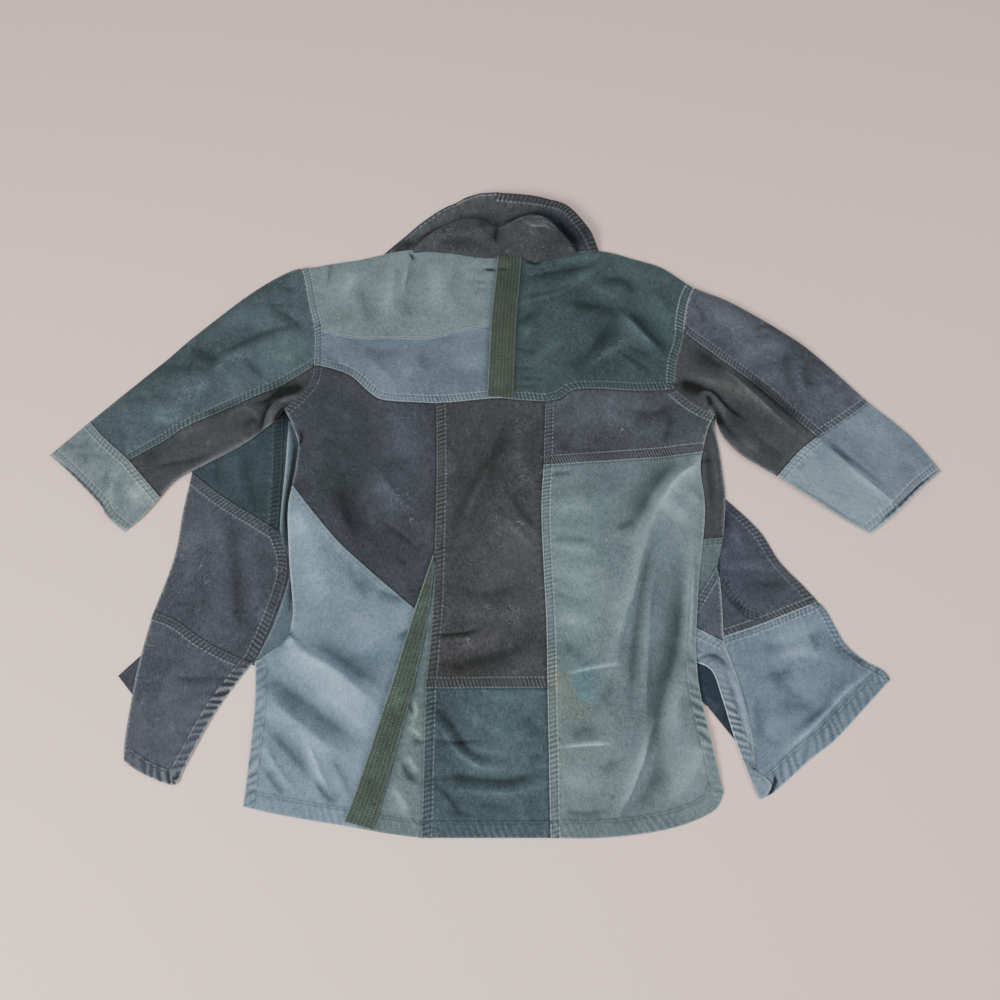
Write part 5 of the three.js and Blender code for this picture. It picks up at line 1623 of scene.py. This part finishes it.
def twill_group(name):
    """Fine diagonal ribs of a twill, laid by the cloth's own grain."""
    inputs = {"Grain": "Vector", "Pitch": "Float"}
    nodes, given, out = new_group(name, "ShaderNodeTree", inputs, {"Height": "Float"})
    wobble = nodes.noise(given["Grain"], 300.0, 1.0)
    part = nodes.add("ShaderNodeSeparateXYZ", {0: given["Grain"]}).outputs
    slant = nodes.total(part[0], nodes.times(part[1], 0.8))
    rib = nodes.wave(nodes.total(nodes.maths("DIVIDE", slant, given["Pitch"]), nodes.times(wobble, 0.6)))
    yarn = nodes.maths("SINE", nodes.times(nodes.maths("DIVIDE", part[1], given["Pitch"]), 9.0))
    height = nodes.total(rib, nodes.times(yarn, 0.35))
    nodes.feed(out, {"Height": nodes.spread(height, -1.35, 1.35)})
    return nodes.tree


def crumple_group(name):
    """Small wrinkles that washing and wearing leave in the cloth."""
    nodes, given, out = new_group(name, "ShaderNodeTree", {"Place": "Vector"}, {"Height": "Float"})
    small = nodes.fold(nodes.noise(given["Place"], 58.0, 4.0, 0.62, 1.4))
    pinched = nodes.fold(nodes.noise(given["Place"], 150.0, 3.0, 0.6, 1.0))
    fine = nodes.noise(given["Place"], 700.0, 1.0, 0.6)
    height = nodes.total(nodes.times(small, -1.6), nodes.times(fine, 0.25), nodes.times(pinched, -0.7))
    nodes.feed(out, {"Height": height})
    return nodes.tree


def webbing_group(name):
    """Lengthwise ribs of a herringbone tape, whose yarns slant in turn to one side and the other."""
    inputs = {"Grain": "Vector", "Rib": "Float", "Yarn": "Float"}
    nodes, given, out = new_group(name, "ShaderNodeTree", inputs, {"Height": "Float"})
    part = nodes.add("ShaderNodeSeparateXYZ", {0: given["Grain"]}).outputs
    across = nodes.maths("DIVIDE", part[0], given["Rib"])
    zigzag = nodes.maths("PINGPONG", across, 1.0)
    rib = nodes.wave(across)
    yarn = nodes.wave(nodes.total(nodes.maths("DIVIDE", part[1], given["Yarn"]), nodes.times(zigzag, 1.2)))
    height = nodes.total(nodes.times(rib, 0.34), nodes.times(yarn, 0.66))
    nodes.feed(out, {"Height": nodes.spread(height, -1.0, 1.0)})
    return nodes.tree


# ---------------------------------------------------------------- materials

# The pale colour that the cloth wears to, and how each cloth has worn: how near its rubbed places
# come to that, how dark the painted shade in its troughs is, the patchiness of its dye and its fleck.
CHALK = (0.54, 0.60, 0.62)
CLOTHS = {
    "sage_twill": (0.62, 0.55, 0.30, 0.22),
    "blue_grey_twill": (0.62, 0.55, 0.30, 0.22),
    "dark_green_twill": (0.50, 0.50, 0.36, 0.26),
    "charcoal_twill": (0.50, 0.48, 0.32, 0.30),
    "pale_blue_twill": (0.62, 0.55, 0.28, 0.20),
    "brown_twill": (0.42, 0.46, 0.34, 0.34),
    "teal_twill": (0.48, 0.48, 0.36, 0.28),
    "sage_green_twill": (0.60, 0.52, 0.30, 0.22),
    "olive_webbing": (0.30, 0.40, 0.25, 0.26),
    "olive_brown_twill": (0.40, 0.48, 0.30, 0.24),
    "navy_twill": (0.45, 0.50, 0.30, 0.22),
}


# Millimetres from rib to rib, and how deep each relief is.
YARN = 2.8
TWILL_PITCH = 1.1
TWILL_DEPTH = 0.12
WEBBING_DEPTH = 0.6
CRUMPLE_DEPTH = 2.2


def scaled(colour, factor):
    """A colour made lighter or darker."""
    return [min(1.0, factor * c) for c in colour[:3]] + [1.0]


def slot_material(slot, make):
    """The material of a slot, which is built the first time that it is used."""
    name = "worn_" + slot
    if name in bpy.data.materials:
        return bpy.data.materials[name]
    material = bpy.data.materials.new(name)
    material.use_nodes = True
    material.node_tree.nodes.clear()
    nodes = Nodes(material.node_tree)
    shader = make(nodes, nodes.add("ShaderNodeTexCoord").outputs, slot)
    nodes.add("ShaderNodeOutputMaterial", {0: shader.outputs[0]})
    return material


def cloth_shader(nodes, where, slot):
    """The cloth of one slot, with its weave, its crumple, its patches of fading, and the painted shade and
    highlights that its tone and wear attributes carry.
    """
    chalky, darker, mottle, fleck = CLOTHS[slot]
    dye = list(getattr(bpy.context.scene.jacket_colours, slot))
    tone = nodes.add("ShaderNodeAttribute", attribute_name="tone").outputs["Color"]
    wear_and_shade = nodes.add("ShaderNodeAttribute", attribute_name="wear_and_shade").outputs["Fac"]
    chalk = [c + (k - c) * chalky for c, k in zip(dye, CHALK)] + [1.0]
    worn_and_shaded = nodes.group("Worn dye", dye_wear_and_shade_group, {
        "Place": where["Object"], "Grain": where["UV"], "Dye": dye + [1.0], "Faded": chalk,
        "Trough shade": scaled(dye, darker), "Rub": wear_and_shade, "Tone": tone, "Mottle": mottle, "Fleck": fleck})
    colour = worn_and_shaded["Color"]
    if slot == "olive_webbing":
        sizes = {"Grain": where["UV"], "Rib": RIB * MM, "Yarn": YARN * MM}
        weave = nodes.group("Webbing", webbing_group, sizes)
        # The webbing's weave pattern is drawn as colour from its own relief: painted shade in its hollows and
        # painted highlight on its yarns.
        streak = nodes.spread(weave["Height"], 0.1, 0.9, 0.4, 1.55)
        colour = nodes.mix(1.0, colour, nodes.grey(streak), "MULTIPLY")
        depth = WEBBING_DEPTH
    else:
        weave = nodes.group("Twill weave", twill_group, {"Grain": where["UV"], "Pitch": TWILL_PITCH * MM})
        depth = TWILL_DEPTH
    crumple = nodes.group("Crumple", crumple_group, {"Place": where["Object"]})["Height"]
    bumped = nodes.add("ShaderNodeBump", {"Strength": 0.6, "Distance": CRUMPLE_DEPTH * MM, "Height": crumple})
    woven = nodes.add("ShaderNodeBump", {"Strength": 0.7, "Distance": depth * MM, "Height": weave["Height"],
                                         "Normal": bumped.outputs["Normal"]})
    return nodes.add("ShaderNodeBsdfPrincipled", {
        "Base Color": colour, "Roughness": nodes.spread(worn_and_shaded["Paleness"], 0.0, 1.0, 0.86, 0.96),
        "Normal": woven.outputs["Normal"], "Specular IOR Level": 0.22, "Sheen Weight": 0.08,
        "Sheen Roughness": 0.5})


def thread_shader(nodes, where, slot):
    """Sewing thread, dulled by washing."""
    dye = list(getattr(bpy.context.scene.jacket_colours, slot))
    share = nodes.spread(nodes.noise(where["Object"], 30.0, 3.0), 0.35, 0.65)
    twist = nodes.noise(where["Object"], 2600.0, 1.0)
    bump = nodes.add("ShaderNodeBump", {"Strength": 0.5, "Distance": 0.0002, "Height": twist})
    return nodes.add("ShaderNodeBsdfPrincipled", {
        "Base Color": nodes.mix(share, scaled(dye, 0.48), scaled(dye, 1.0)),
        "Normal": bump.outputs["Normal"], "Roughness": 0.8})


# ---------------------------------------------------------------- stitches

def stitch_tree(name):
    """Geometry Nodes that sew a row of stitches along every line of a mesh."""
    inputs = {"Lines": "Geometry", "Pitch": "Float", "Length": "Float", "Width": "Float", "Seed": "Int",
              "Thread": "Material"}
    nodes, given, out = new_group(name, "GeometryNodeTree", inputs, {"Stitches": "Geometry"})
    lines = nodes.add("GeometryNodeMeshToCurve", {"Mesh": given["Lines"]})
    points = nodes.add("GeometryNodeCurveToPoints", {"Curve": lines.outputs[0], "Length": given["Pitch"]},
                       mode="LENGTH")
    bead = nodes.add("GeometryNodeMeshUVSphere", {"Segments": 6, "Rings": 3, "Radius": 0.5})
    vary = nodes.add("FunctionNodeRandomValue", {"Seed": given["Seed"]}, data_type="FLOAT")
    least, most = [socket for socket in vary.inputs if socket.type == "VALUE"][:2]
    least.default_value = 0.82
    most.default_value = 1.08
    factor = [socket for socket in vary.outputs if socket.type == "VALUE"][0]
    size = {0: given["Width"], 1: given["Width"], 2: nodes.times(given["Length"], factor)}
    placed = nodes.add("GeometryNodeInstanceOnPoints", {
        "Points": points.outputs["Points"], "Instance": bead.outputs["Mesh"],
        "Rotation": points.outputs["Rotation"],
        "Scale": nodes.add("ShaderNodeCombineXYZ", size).outputs[0]})
    real = nodes.add("GeometryNodeRealizeInstances", {0: placed.outputs[0]})
    smoothed = nodes.add("GeometryNodeSetShadeSmooth", {0: real.outputs[0]})
    dye = {"Geometry": smoothed.outputs[0], "Material": given["Thread"]}
    dyed = nodes.add("GeometryNodeSetMaterial", dye)
    nodes.feed(out, {0: dyed.outputs[0]})
    return nodes.tree


def sew(name, rows, pitch, seed):
    """Sews rows of stitches along lines in millimetres, and gives them as one mesh."""
    sizes = bpy.context.scene.jacket_sizes
    places = np.vstack(rows)
    edges = []
    first = 0
    for row in rows:
        edges += [(first + i, first + i + 1) for i in range(len(row) - 1)]
        first += len(row)
    guide = bpy.data.meshes.new(name + "_line")
    guide.from_pydata(((places + DATUM) * MM).tolist(), edges, [])
    holder = placed(name + "_line", guide)
    tree = bpy.data.node_groups.get("Running stitch") or stitch_tree("Running stitch")
    modifier = holder.modifiers.new("Stitches", "NODES")
    modifier.node_group = tree
    sewn_share = 0.86
    values = {"Pitch": pitch, "Length": pitch * sewn_share, "Width": sizes.thread, "Seed": seed,
              "Thread": slot_material("thread", thread_shader)}
    for item in tree.interface.items_tree:
        if item.in_out == "INPUT" and item.name in values:
            modifier[item.identifier] = values[item.name]
    holder.update_tag()
    ready = holder.evaluated_get(bpy.context.evaluated_depsgraph_get())
    mesh = bpy.data.meshes.new_from_object(ready)
    mesh.name = name
    bpy.data.objects.remove(holder)
    piece = placed(name, mesh)
    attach(piece, "root")
    return piece


def row_on(layer, line, side, offset):
    """A stitch row beside a line, laid on a layer."""
    step = 1.5
    lift = 0.15
    row = beside(line, side, offset, step)
    return np.column_stack([row, layer.look(row)[0] + lift])


# ---------------------------------------------------------------- settings

class JacketSizes(bpy.types.PropertyGroup):
    """Sizes of the cloth, its stitches and its mesh."""

    cloth: FloatProperty(name="Cloth", description="Thickness of the twill", default=0.0012,
                         min=0.0006, max=0.003, unit="LENGTH")
    tape: FloatProperty(name="Tape", description="Thickness of the webbing tape", default=0.0015,
                        min=0.0008, max=0.003, unit="LENGTH")
    collar: FloatProperty(name="Collar", description="Thickness of the collar's doubled cloth",
                          default=0.0020, min=0.001, max=0.004, unit="LENGTH")
    stitch: FloatProperty(name="Stitch", description="Length of one stitch and the gap after it",
                          default=0.0034, min=0.002, max=0.006, unit="LENGTH")
    thread: FloatProperty(name="Thread", description="Width of the sewing thread", default=0.0006,
                          min=0.0003, max=0.001, unit="LENGTH")
    mesh_pitch: FloatProperty(name="Mesh pitch", description="Spacing of the points over the upper cloth",
                              default=0.0033, min=0.002, max=0.01, unit="LENGTH")
    tape_pitch: FloatProperty(name="Tape pitch", description="Spacing of the points over the tapes",
                              default=0.0011, min=0.0005, max=0.01, unit="LENGTH")
    under_pitch: FloatProperty(name="Under pitch", description="Spacing of the points under the sleeves",
                               default=0.009, min=0.004, max=0.02, unit="LENGTH")
    seed: IntProperty(name="Seed", description="Seed of the small differences between stitches", default=7)


def dye(slot, name, words):
    """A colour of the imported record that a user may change."""
    return FloatVectorProperty(name=name, description=words, default=RECORD_COLOURS[slot], min=0.0,
                               max=1.0, size=3, subtype="COLOR")


class JacketColours(bpy.types.PropertyGroup):
    """Colours of the cloths, the tapes and the thread."""

    sage_twill: dye("sage_twill", "Sage twill", "Upper left yoke and left cuff")
    blue_grey_twill: dye("blue_grey_twill", "Blue-grey twill", "Lower left yoke and right front")
    dark_green_twill: dye("dark_green_twill", "Dark green twill", "Right yoke")
    charcoal_twill: dye("charcoal_twill", "Charcoal twill", "Upper back and right sleeve")
    pale_blue_twill: dye("pale_blue_twill", "Pale blue twill", "Lower left back")
    brown_twill: dye("brown_twill", "Brown twill", "Centre back and collar")
    teal_twill: dye("teal_twill", "Teal twill", "Lower centre back and left sleeve")
    sage_green_twill: dye("sage_green_twill", "Sage green twill", "Lower right back")
    olive_webbing: dye("olive_webbing", "Olive webbing", "The two tapes")
    olive_brown_twill: dye("olive_brown_twill", "Olive-brown twill", "Under sleeves and side panel")
    navy_twill: dye("navy_twill", "Navy twill", "Inside of the right front")
    thread: dye("thread", "Thread", "Sewing thread")


class StageSettings(bpy.types.PropertyGroup):
    """The floor and the light."""

    floor: FloatVectorProperty(name="Floor", description="Colour of the floor", default=(0.95, 0.715, 0.62),
                               min=0.0, max=1.0, size=3, subtype="COLOR")
    key: FloatProperty(name="Key light", description="Power of the large soft light", default=76.0,
                       min=0.0, max=1000.0, unit="POWER")
    sky: FloatProperty(name="Sky", description="Strength of the light from all round", default=0.46,
                       min=0.0, max=5.0)


class JacketOperator:
    """What every operator of this file shares."""

    bl_options = {"REGISTER", "UNDO"}


# ---------------------------------------------------------------- stage

class JACKET_OT_stage(JacketOperator, bpy.types.Operator):
    """Lay the floor and set the soft light and the camera"""

    bl_idname = "jacket.stage"
    bl_label = "Stage"

    def execute(self, context):
        stage = context.scene.jacket_stage
        half = 4.0
        mesh = bpy.data.meshes.new("floor")
        corners = [(-half, -half, 0), (half, -half, 0), (half, half, 0), (-half, half, 0)]
        mesh.from_pydata(corners, [], [(0, 1, 2, 3)])
        material = bpy.data.materials.new("floor")
        material.use_nodes = True
        shader = material.node_tree.nodes["Principled BSDF"]
        shader.inputs["Base Color"].default_value = (*stage.floor, 1)
        shader.inputs["Roughness"].default_value = 0.75
        shader.inputs["Specular IOR Level"].default_value = 0.2
        mesh.materials.append(material)
        floor = placed("floor", mesh)
        fill = 0.25
        self.light("key_light", stage.key, 1.3, (-1.5, -1.5, 1.7), (0.99, 0.99, 1.0))
        self.light("fill_light", stage.key * fill, 1.8, (1.6, -0.4, 1.9), (0.97, 0.98, 1.0))
        world = bpy.data.worlds.new("sky")
        world.use_nodes = True
        background = world.node_tree.nodes["Background"]
        background.inputs["Color"].default_value = (0.96, 0.98, 1.0, 1)
        background.inputs["Strength"].default_value = stage.sky
        context.scene.world = world
        self.camera(context)
        return {"FINISHED"}

    def light(self, name, power, size, place, colour):
        lamp = bpy.data.lights.new(name, "AREA")
        lamp.energy = power
        lamp.shape = "DISK"
        lamp.size = size
        lamp.color = colour
        holder = placed(name, lamp)
        holder.location = place
        holder.rotation_euler = (-Vector(place)).to_track_quat("-Z", "Y").to_euler()

    def camera(self, context):
        lens = bpy.data.cameras.new("camera")
        lens.lens = 36
        lens.sensor_width = 36
        lens.sensor_fit = "HORIZONTAL"
        holder = placed("camera", lens)
        tilt = 21.3
        holder.location = (0.0085, -0.5183, 1.25)
        holder.rotation_euler = (math.radians(tilt), 0, 0)
        context.scene.camera = holder


# ---------------------------------------------------------------- pieces

class JACKET_OT_fronts(JacketOperator, bpy.types.Operator):
    """Cut the two fronts, which lie on the surface"""

    bl_idname = "jacket.fronts"
    bl_label = "Fronts"

    def execute(self, context):
        floor = dict(rests_on=[])
        hidden = dict(rests_on=[], pitch=context.scene.jacket_sizes.under_pitch)
        cut("front_left_chest", "charcoal_twill", chest_layer, [
            smooth((-8, -330), (-8, 150), (-45, 260), (-95, 342)),
            smooth((-200, 330), (-262, 312), (-250, 200), (-262, 132), (-280, 90)),
            smooth((-280, 60), (-278, -70), (-262, -130), (-284, -240), (-286, -330)),
        ], **hidden)
        cut("front_right_chest", "navy_twill", chest_layer, [
            smooth((8, -316), (8, 150), (45, 260), (95, 342)),
            smooth((200, 326), (270, 285), (246, 130), (290, 92)),
            smooth((298, 30), (298, -20)),
            right_under_side,
            right_under_facing,
            np.array([(296, -349), (264, -306), (236, -274)]),
        ], **hidden)
        cut("front_right_upper", "charcoal_twill", floor_layer,
            [right_front_edge_top, right_front_seam, right_under_side], 20, **floor)
        cut("front_right_lower", "blue_grey_twill", floor_layer,
            [right_front_seam, right_front_edge_low, right_front_hem, right_under_facing], -40, **floor)
        cut("front_left_turned_edge", "charcoal_twill", floor_layer, [
            smooth((-400, -20), (-411, -100), (-426, -180), (-442, -240)),
            np.array([(-471, -270), (-454, -289)]),
            smooth((-444, -300), (-400, -305), (-370, -180), (-357, -40)),
        ], -10, held="folded", **floor)
        on_fold = dict(rests_on=["front_left_turned_edge"])
        cut("front_left_upper", "teal_twill", left_front_layer,
            [left_front_seam, left_front_upper_tucked, np.array([(-300, 120), (-330, 86), (-408, 34)])],
            30, **on_fold)
        cut("front_left_middle", "charcoal_twill", left_front_layer,
            [left_front_seam, left_front_tucked, left_front_low_seam, left_front_fold], -8, **on_fold)
        cut("front_left_lower", "charcoal_twill", left_front_layer,
            [left_front_low_seam, left_front_vent, left_front_hem, left_front_fold_low], **on_fold)
        return {"FINISHED"}


class JACKET_OT_side_panels(JacketOperator, bpy.types.Operator):
    """Cut the folded side panels and the facing of the right vent"""

    bl_idname = "jacket.side_panels"
    bl_label = "Side panels"

    def execute(self, context):
        folded = dict(held="folded")
        cut("side_left", "pale_blue_twill", side_layer, [
            left_side_fold,
            smooth((-304, -256), (-285, -262), (-262, -240), (-246, -160), (-256, -40), (-256, 20),
                   (-270, 70)),
        ], -3, **folded)
        cut("side_right_upper", "olive_brown_twill", side_layer,
            [right_side_fold, right_side_seam, np.array([(268, 0), (288, 70), (297, 99)])], 8, **folded)
        cut("side_right_middle", "sage_twill", side_layer,
            [right_side_seam, np.array([(297, -108)]), right_side_diagonal], 20, **folded)
        cut("side_right_lower", "charcoal_twill", side_layer,
            [right_side_diagonal, right_side_low_seam, right_side_low_fold], **folded)
        cut("side_right_facing", "blue_grey_twill", side_layer,
            [right_side_low_seam, facing_fold, facing_corner, facing_edge], 14, **folded)
        return {"FINISHED"}


class JACKET_OT_back(JacketOperator, bpy.types.Operator):
    """Cut the yoke and the patched back, which lie on the fronts"""

    bl_idname = "jacket.back"
    bl_label = "Back"

    def execute(self, context):
        back = back_layer
        cut("yoke_left_upper", "sage_twill", back,
            [shoulder_left, yoke_centre_top, yoke_split, armhole_left_top], 4)
        cut("yoke_left_lower", "blue_grey_twill", back,
            [yoke_split, yoke_centre_low, yoke_seam_centre_left, yoke_seam_left, armhole_left_middle], 90)
        cut("yoke_right", "dark_green_twill", back,
            [shoulder_right, armhole_right_top, armhole_right_middle, yoke_seam_right,
             yoke_seam_centre_right, yoke_centre_low, yoke_centre_top], -4)
        cut("back_left_upper", "charcoal_twill", back,
            [yoke_seam_left, centre_left_upper, tape_upper, left_diagonal, left_side_upper,
             armhole_left_low], 2)
        cut("back_left_lower", "pale_blue_twill", back,
            [left_diagonal, tape_lower, hem_left, left_vent, left_side_lower], 3)
        cut("back_sliver", "sage_twill", back,
            [centre_left_middle, centre_left_low, hem_tape, tape_lower, tape_upper], -8)
        cut("back_centre_upper", "brown_twill", back,
            [yoke_seam_centre_left, yoke_seam_centre_right, centre_right_upper, centre_right_middle,
             cross_seam, centre_left_middle, centre_left_upper])
        cut("back_centre_lower", "teal_twill", back,
            [cross_seam, centre_right_low, hem_centre, centre_left_low])
        cut("back_right_upper", "charcoal_twill", back,
            [yoke_seam_right, armhole_right_low, right_side_upper, right_cross_seam, centre_right_upper], 5)
        cut("back_right_lower", "sage_green_twill", back,
            [right_cross_seam, right_side_lower, right_vent, hem_right, centre_right_low,
             centre_right_middle], 2)
        return {"FINISHED"}


class JACKET_OT_tapes(JacketOperator, bpy.types.Operator):
    """Lay the two webbing tapes over the back"""

    bl_idname = "jacket.tapes"
    bl_label = "Tapes"

    def execute(self, context):
        sizes = context.scene.jacket_sizes
        webbing = dict(thickness=sizes.tape, pitch=sizes.tape_pitch, weave=tape_place)
        cut("yoke_tape", "olive_webbing", tape_layer, [yoke_tape_left, yoke_tape_right], -3,
            rests_on=["yoke_left_upper", "yoke_left_lower", "yoke_right"], **webbing)
        cut("back_tape", "olive_webbing", tape_layer, [back_tape_left, back_tape_right], -15.5,
            rests_on=["back_left_upper", "back_left_lower", "back_sliver"], **webbing)
        return {"FINISHED"}


class JACKET_OT_sleeves(JacketOperator, bpy.types.Operator):
    """Make the two sleeves and their cuffs, each a tube pressed flat"""

    bl_idname = "jacket.sleeves"
    bl_label = "Sleeves"

    def execute(self, context):
        left = left_sleeve_layer
        on_front = dict(held="folded", rests_on=["front_left_upper"])
        cut("sleeve_left_upper", "teal_twill", left,
            [armhole_left_top, armhole_left_middle, left_sleeve_seam, left_cuff_seam_top,
             left_sleeve_top_fold], -48, [left_sleeve_top_fold], **on_front)
        cut("sleeve_left_under", "olive_brown_twill", left,
            [left_sleeve_seam, left_cuff_seam_low, left_sleeve_low_fold, armhole_left_low],
            -60, [left_sleeve_low_fold], **on_front)
        cut("sleeve_left_cuff", "sage_twill", left,
            [left_cuff_top_fold, left_cuff_hem, left_cuff_low_fold, left_cuff_seam_low,
             left_cuff_seam_top], -45, [left_cuff_top_fold, left_cuff_low_fold], **on_front)
        right = right_sleeve_layer
        on_back = dict(held="folded", rests_on=["front_right_chest"])
        cut("sleeve_right_upper", "charcoal_twill", right,
            [armhole_right_top, right_sleeve_seam, right_cuff_seam_top, right_sleeve_top_fold],
            52, [right_sleeve_top_fold], **on_back)
        cut("sleeve_right_under", "olive_brown_twill", right,
            [armhole_right_middle, armhole_right_low, right_sleeve_low_fold, right_cuff_seam_low,
             right_sleeve_seam], 48, [right_sleeve_low_fold], **on_back)
        cut("sleeve_right_cuff", "blue_grey_twill", right,
            [right_cuff_seam_top, right_cuff_top_fold, right_cuff_hem, right_cuff_fold],
            50, [right_cuff_top_fold], **on_back)
        cut("sleeve_right_cuff_fold", "pale_blue_twill", right,
            [right_cuff_seam_low, right_cuff_low_fold, right_cuff_fold_hem, right_cuff_fold],
            50, [right_cuff_low_fold], **on_back)
        return {"FINISHED"}


class JACKET_OT_collar(JacketOperator, bpy.types.Operator):
    """Make the turned-up collar: its leaf on the surface and its rolled stand"""

    bl_idname = "jacket.collar"
    bl_label = "Collar"

    def execute(self, context):
        doubled = context.scene.jacket_sizes.collar
        leaf = dict(thickness=doubled, rests_on=[], held="folded")
        cut("collar_leaf_left", "brown_twill", leaf_layer,
            [leaf_rim_left, foot_between(-162, COLLAR_CENTRE)], **leaf)
        cut("collar_leaf_right", "brown_twill", leaf_layer,
            [leaf_rim_right, foot_between(COLLAR_CENTRE, 156)], **leaf)
        stand = dict(rests_on=["collar_leaf_left", "collar_leaf_right"], held="folded")
        cut("collar_stand_left", "brown_twill", stand_layer,
            [stand_crest_left, foot_between(-119, COLLAR_CENTRE)], **stand)
        cut("collar_stand_right", "brown_twill", stand_layer,
            [stand_crest_right, foot_between(COLLAR_CENTRE, 121)], **stand)
        return {"FINISHED"}


class JACKET_OT_stitching(JacketOperator, bpy.types.Operator):
    """Sew the rows of stitches, one mesh for each part of the jacket"""

    bl_idname = "jacket.stitching"
    bl_label = "Stitching"

    def execute(self, context):
        sizes = context.scene.jacket_sizes
        layers = {"back": back_layer, "floor": floor_layer, "left_front": left_front_layer,
                  "sides": side_layer, "sleeve_left": left_sleeve_layer,
                  "sleeve_right": right_sleeve_layer, "collar": leaf_layer}
        for number, (name, layer) in enumerate(layers.items()):
            rows = [row_on(layer, band.edge, band.side, offset)
                    for band in layer.bands for offset in band.rows]
            sew("stitches_" + name, rows, sizes.stitch, sizes.seed + number)
        inset = 2.4
        rows = [row_on(tape_layer, line, 1, inset) for line in TAPE_EDGES]
        sew("stitches_tapes", rows, sizes.stitch, sizes.seed + len(layers))
        return {"FINISHED"}


class JACKET_PT_panel(bpy.types.Panel):
    """Lists the steps of making the jacket"""

    bl_idname = "JACKET_PT_panel"
    bl_label = "Patched Jacket"
    bl_space_type = "VIEW_3D"
    bl_region_type = "UI"
    bl_category = "Jacket"

    def draw(self, context):
        for step in STEPS:
            self.layout.operator(step.bl_idname)
        scene = context.scene
        for settings in (scene.jacket_sizes, scene.jacket_colours, scene.jacket_stage):
            box = self.layout.box()
            for name in settings.__annotations__:
                box.prop(settings, name)


STEPS = (JACKET_OT_stage, JACKET_OT_fronts, JACKET_OT_side_panels, JACKET_OT_back, JACKET_OT_tapes,
         JACKET_OT_sleeves, JACKET_OT_collar, JACKET_OT_stitching)
CLASSES = (JacketSizes, JacketColours, StageSettings, *STEPS, JACKET_PT_panel)


def register():
    for each in CLASSES:
        bpy.utils.register_class(each)
    bpy.types.Scene.jacket_sizes = PointerProperty(type=JacketSizes)
    bpy.types.Scene.jacket_colours = PointerProperty(type=JacketColours)
    bpy.types.Scene.jacket_stage = PointerProperty(type=StageSettings)


def unregister():
    del bpy.types.Scene.jacket_stage
    del bpy.types.Scene.jacket_colours
    del bpy.types.Scene.jacket_sizes
    for each in reversed(CLASSES):
        bpy.utils.unregister_class(each)


def main():
    register()
    bpy.ops.jacket.stage()
    bpy.ops.jacket.fronts()
    bpy.ops.jacket.side_panels()
    bpy.ops.jacket.back()
    bpy.ops.jacket.tapes()
    bpy.ops.jacket.sleeves()
    bpy.ops.jacket.collar()
    bpy.ops.jacket.stitching()


if __name__ == "__main__":
    main()
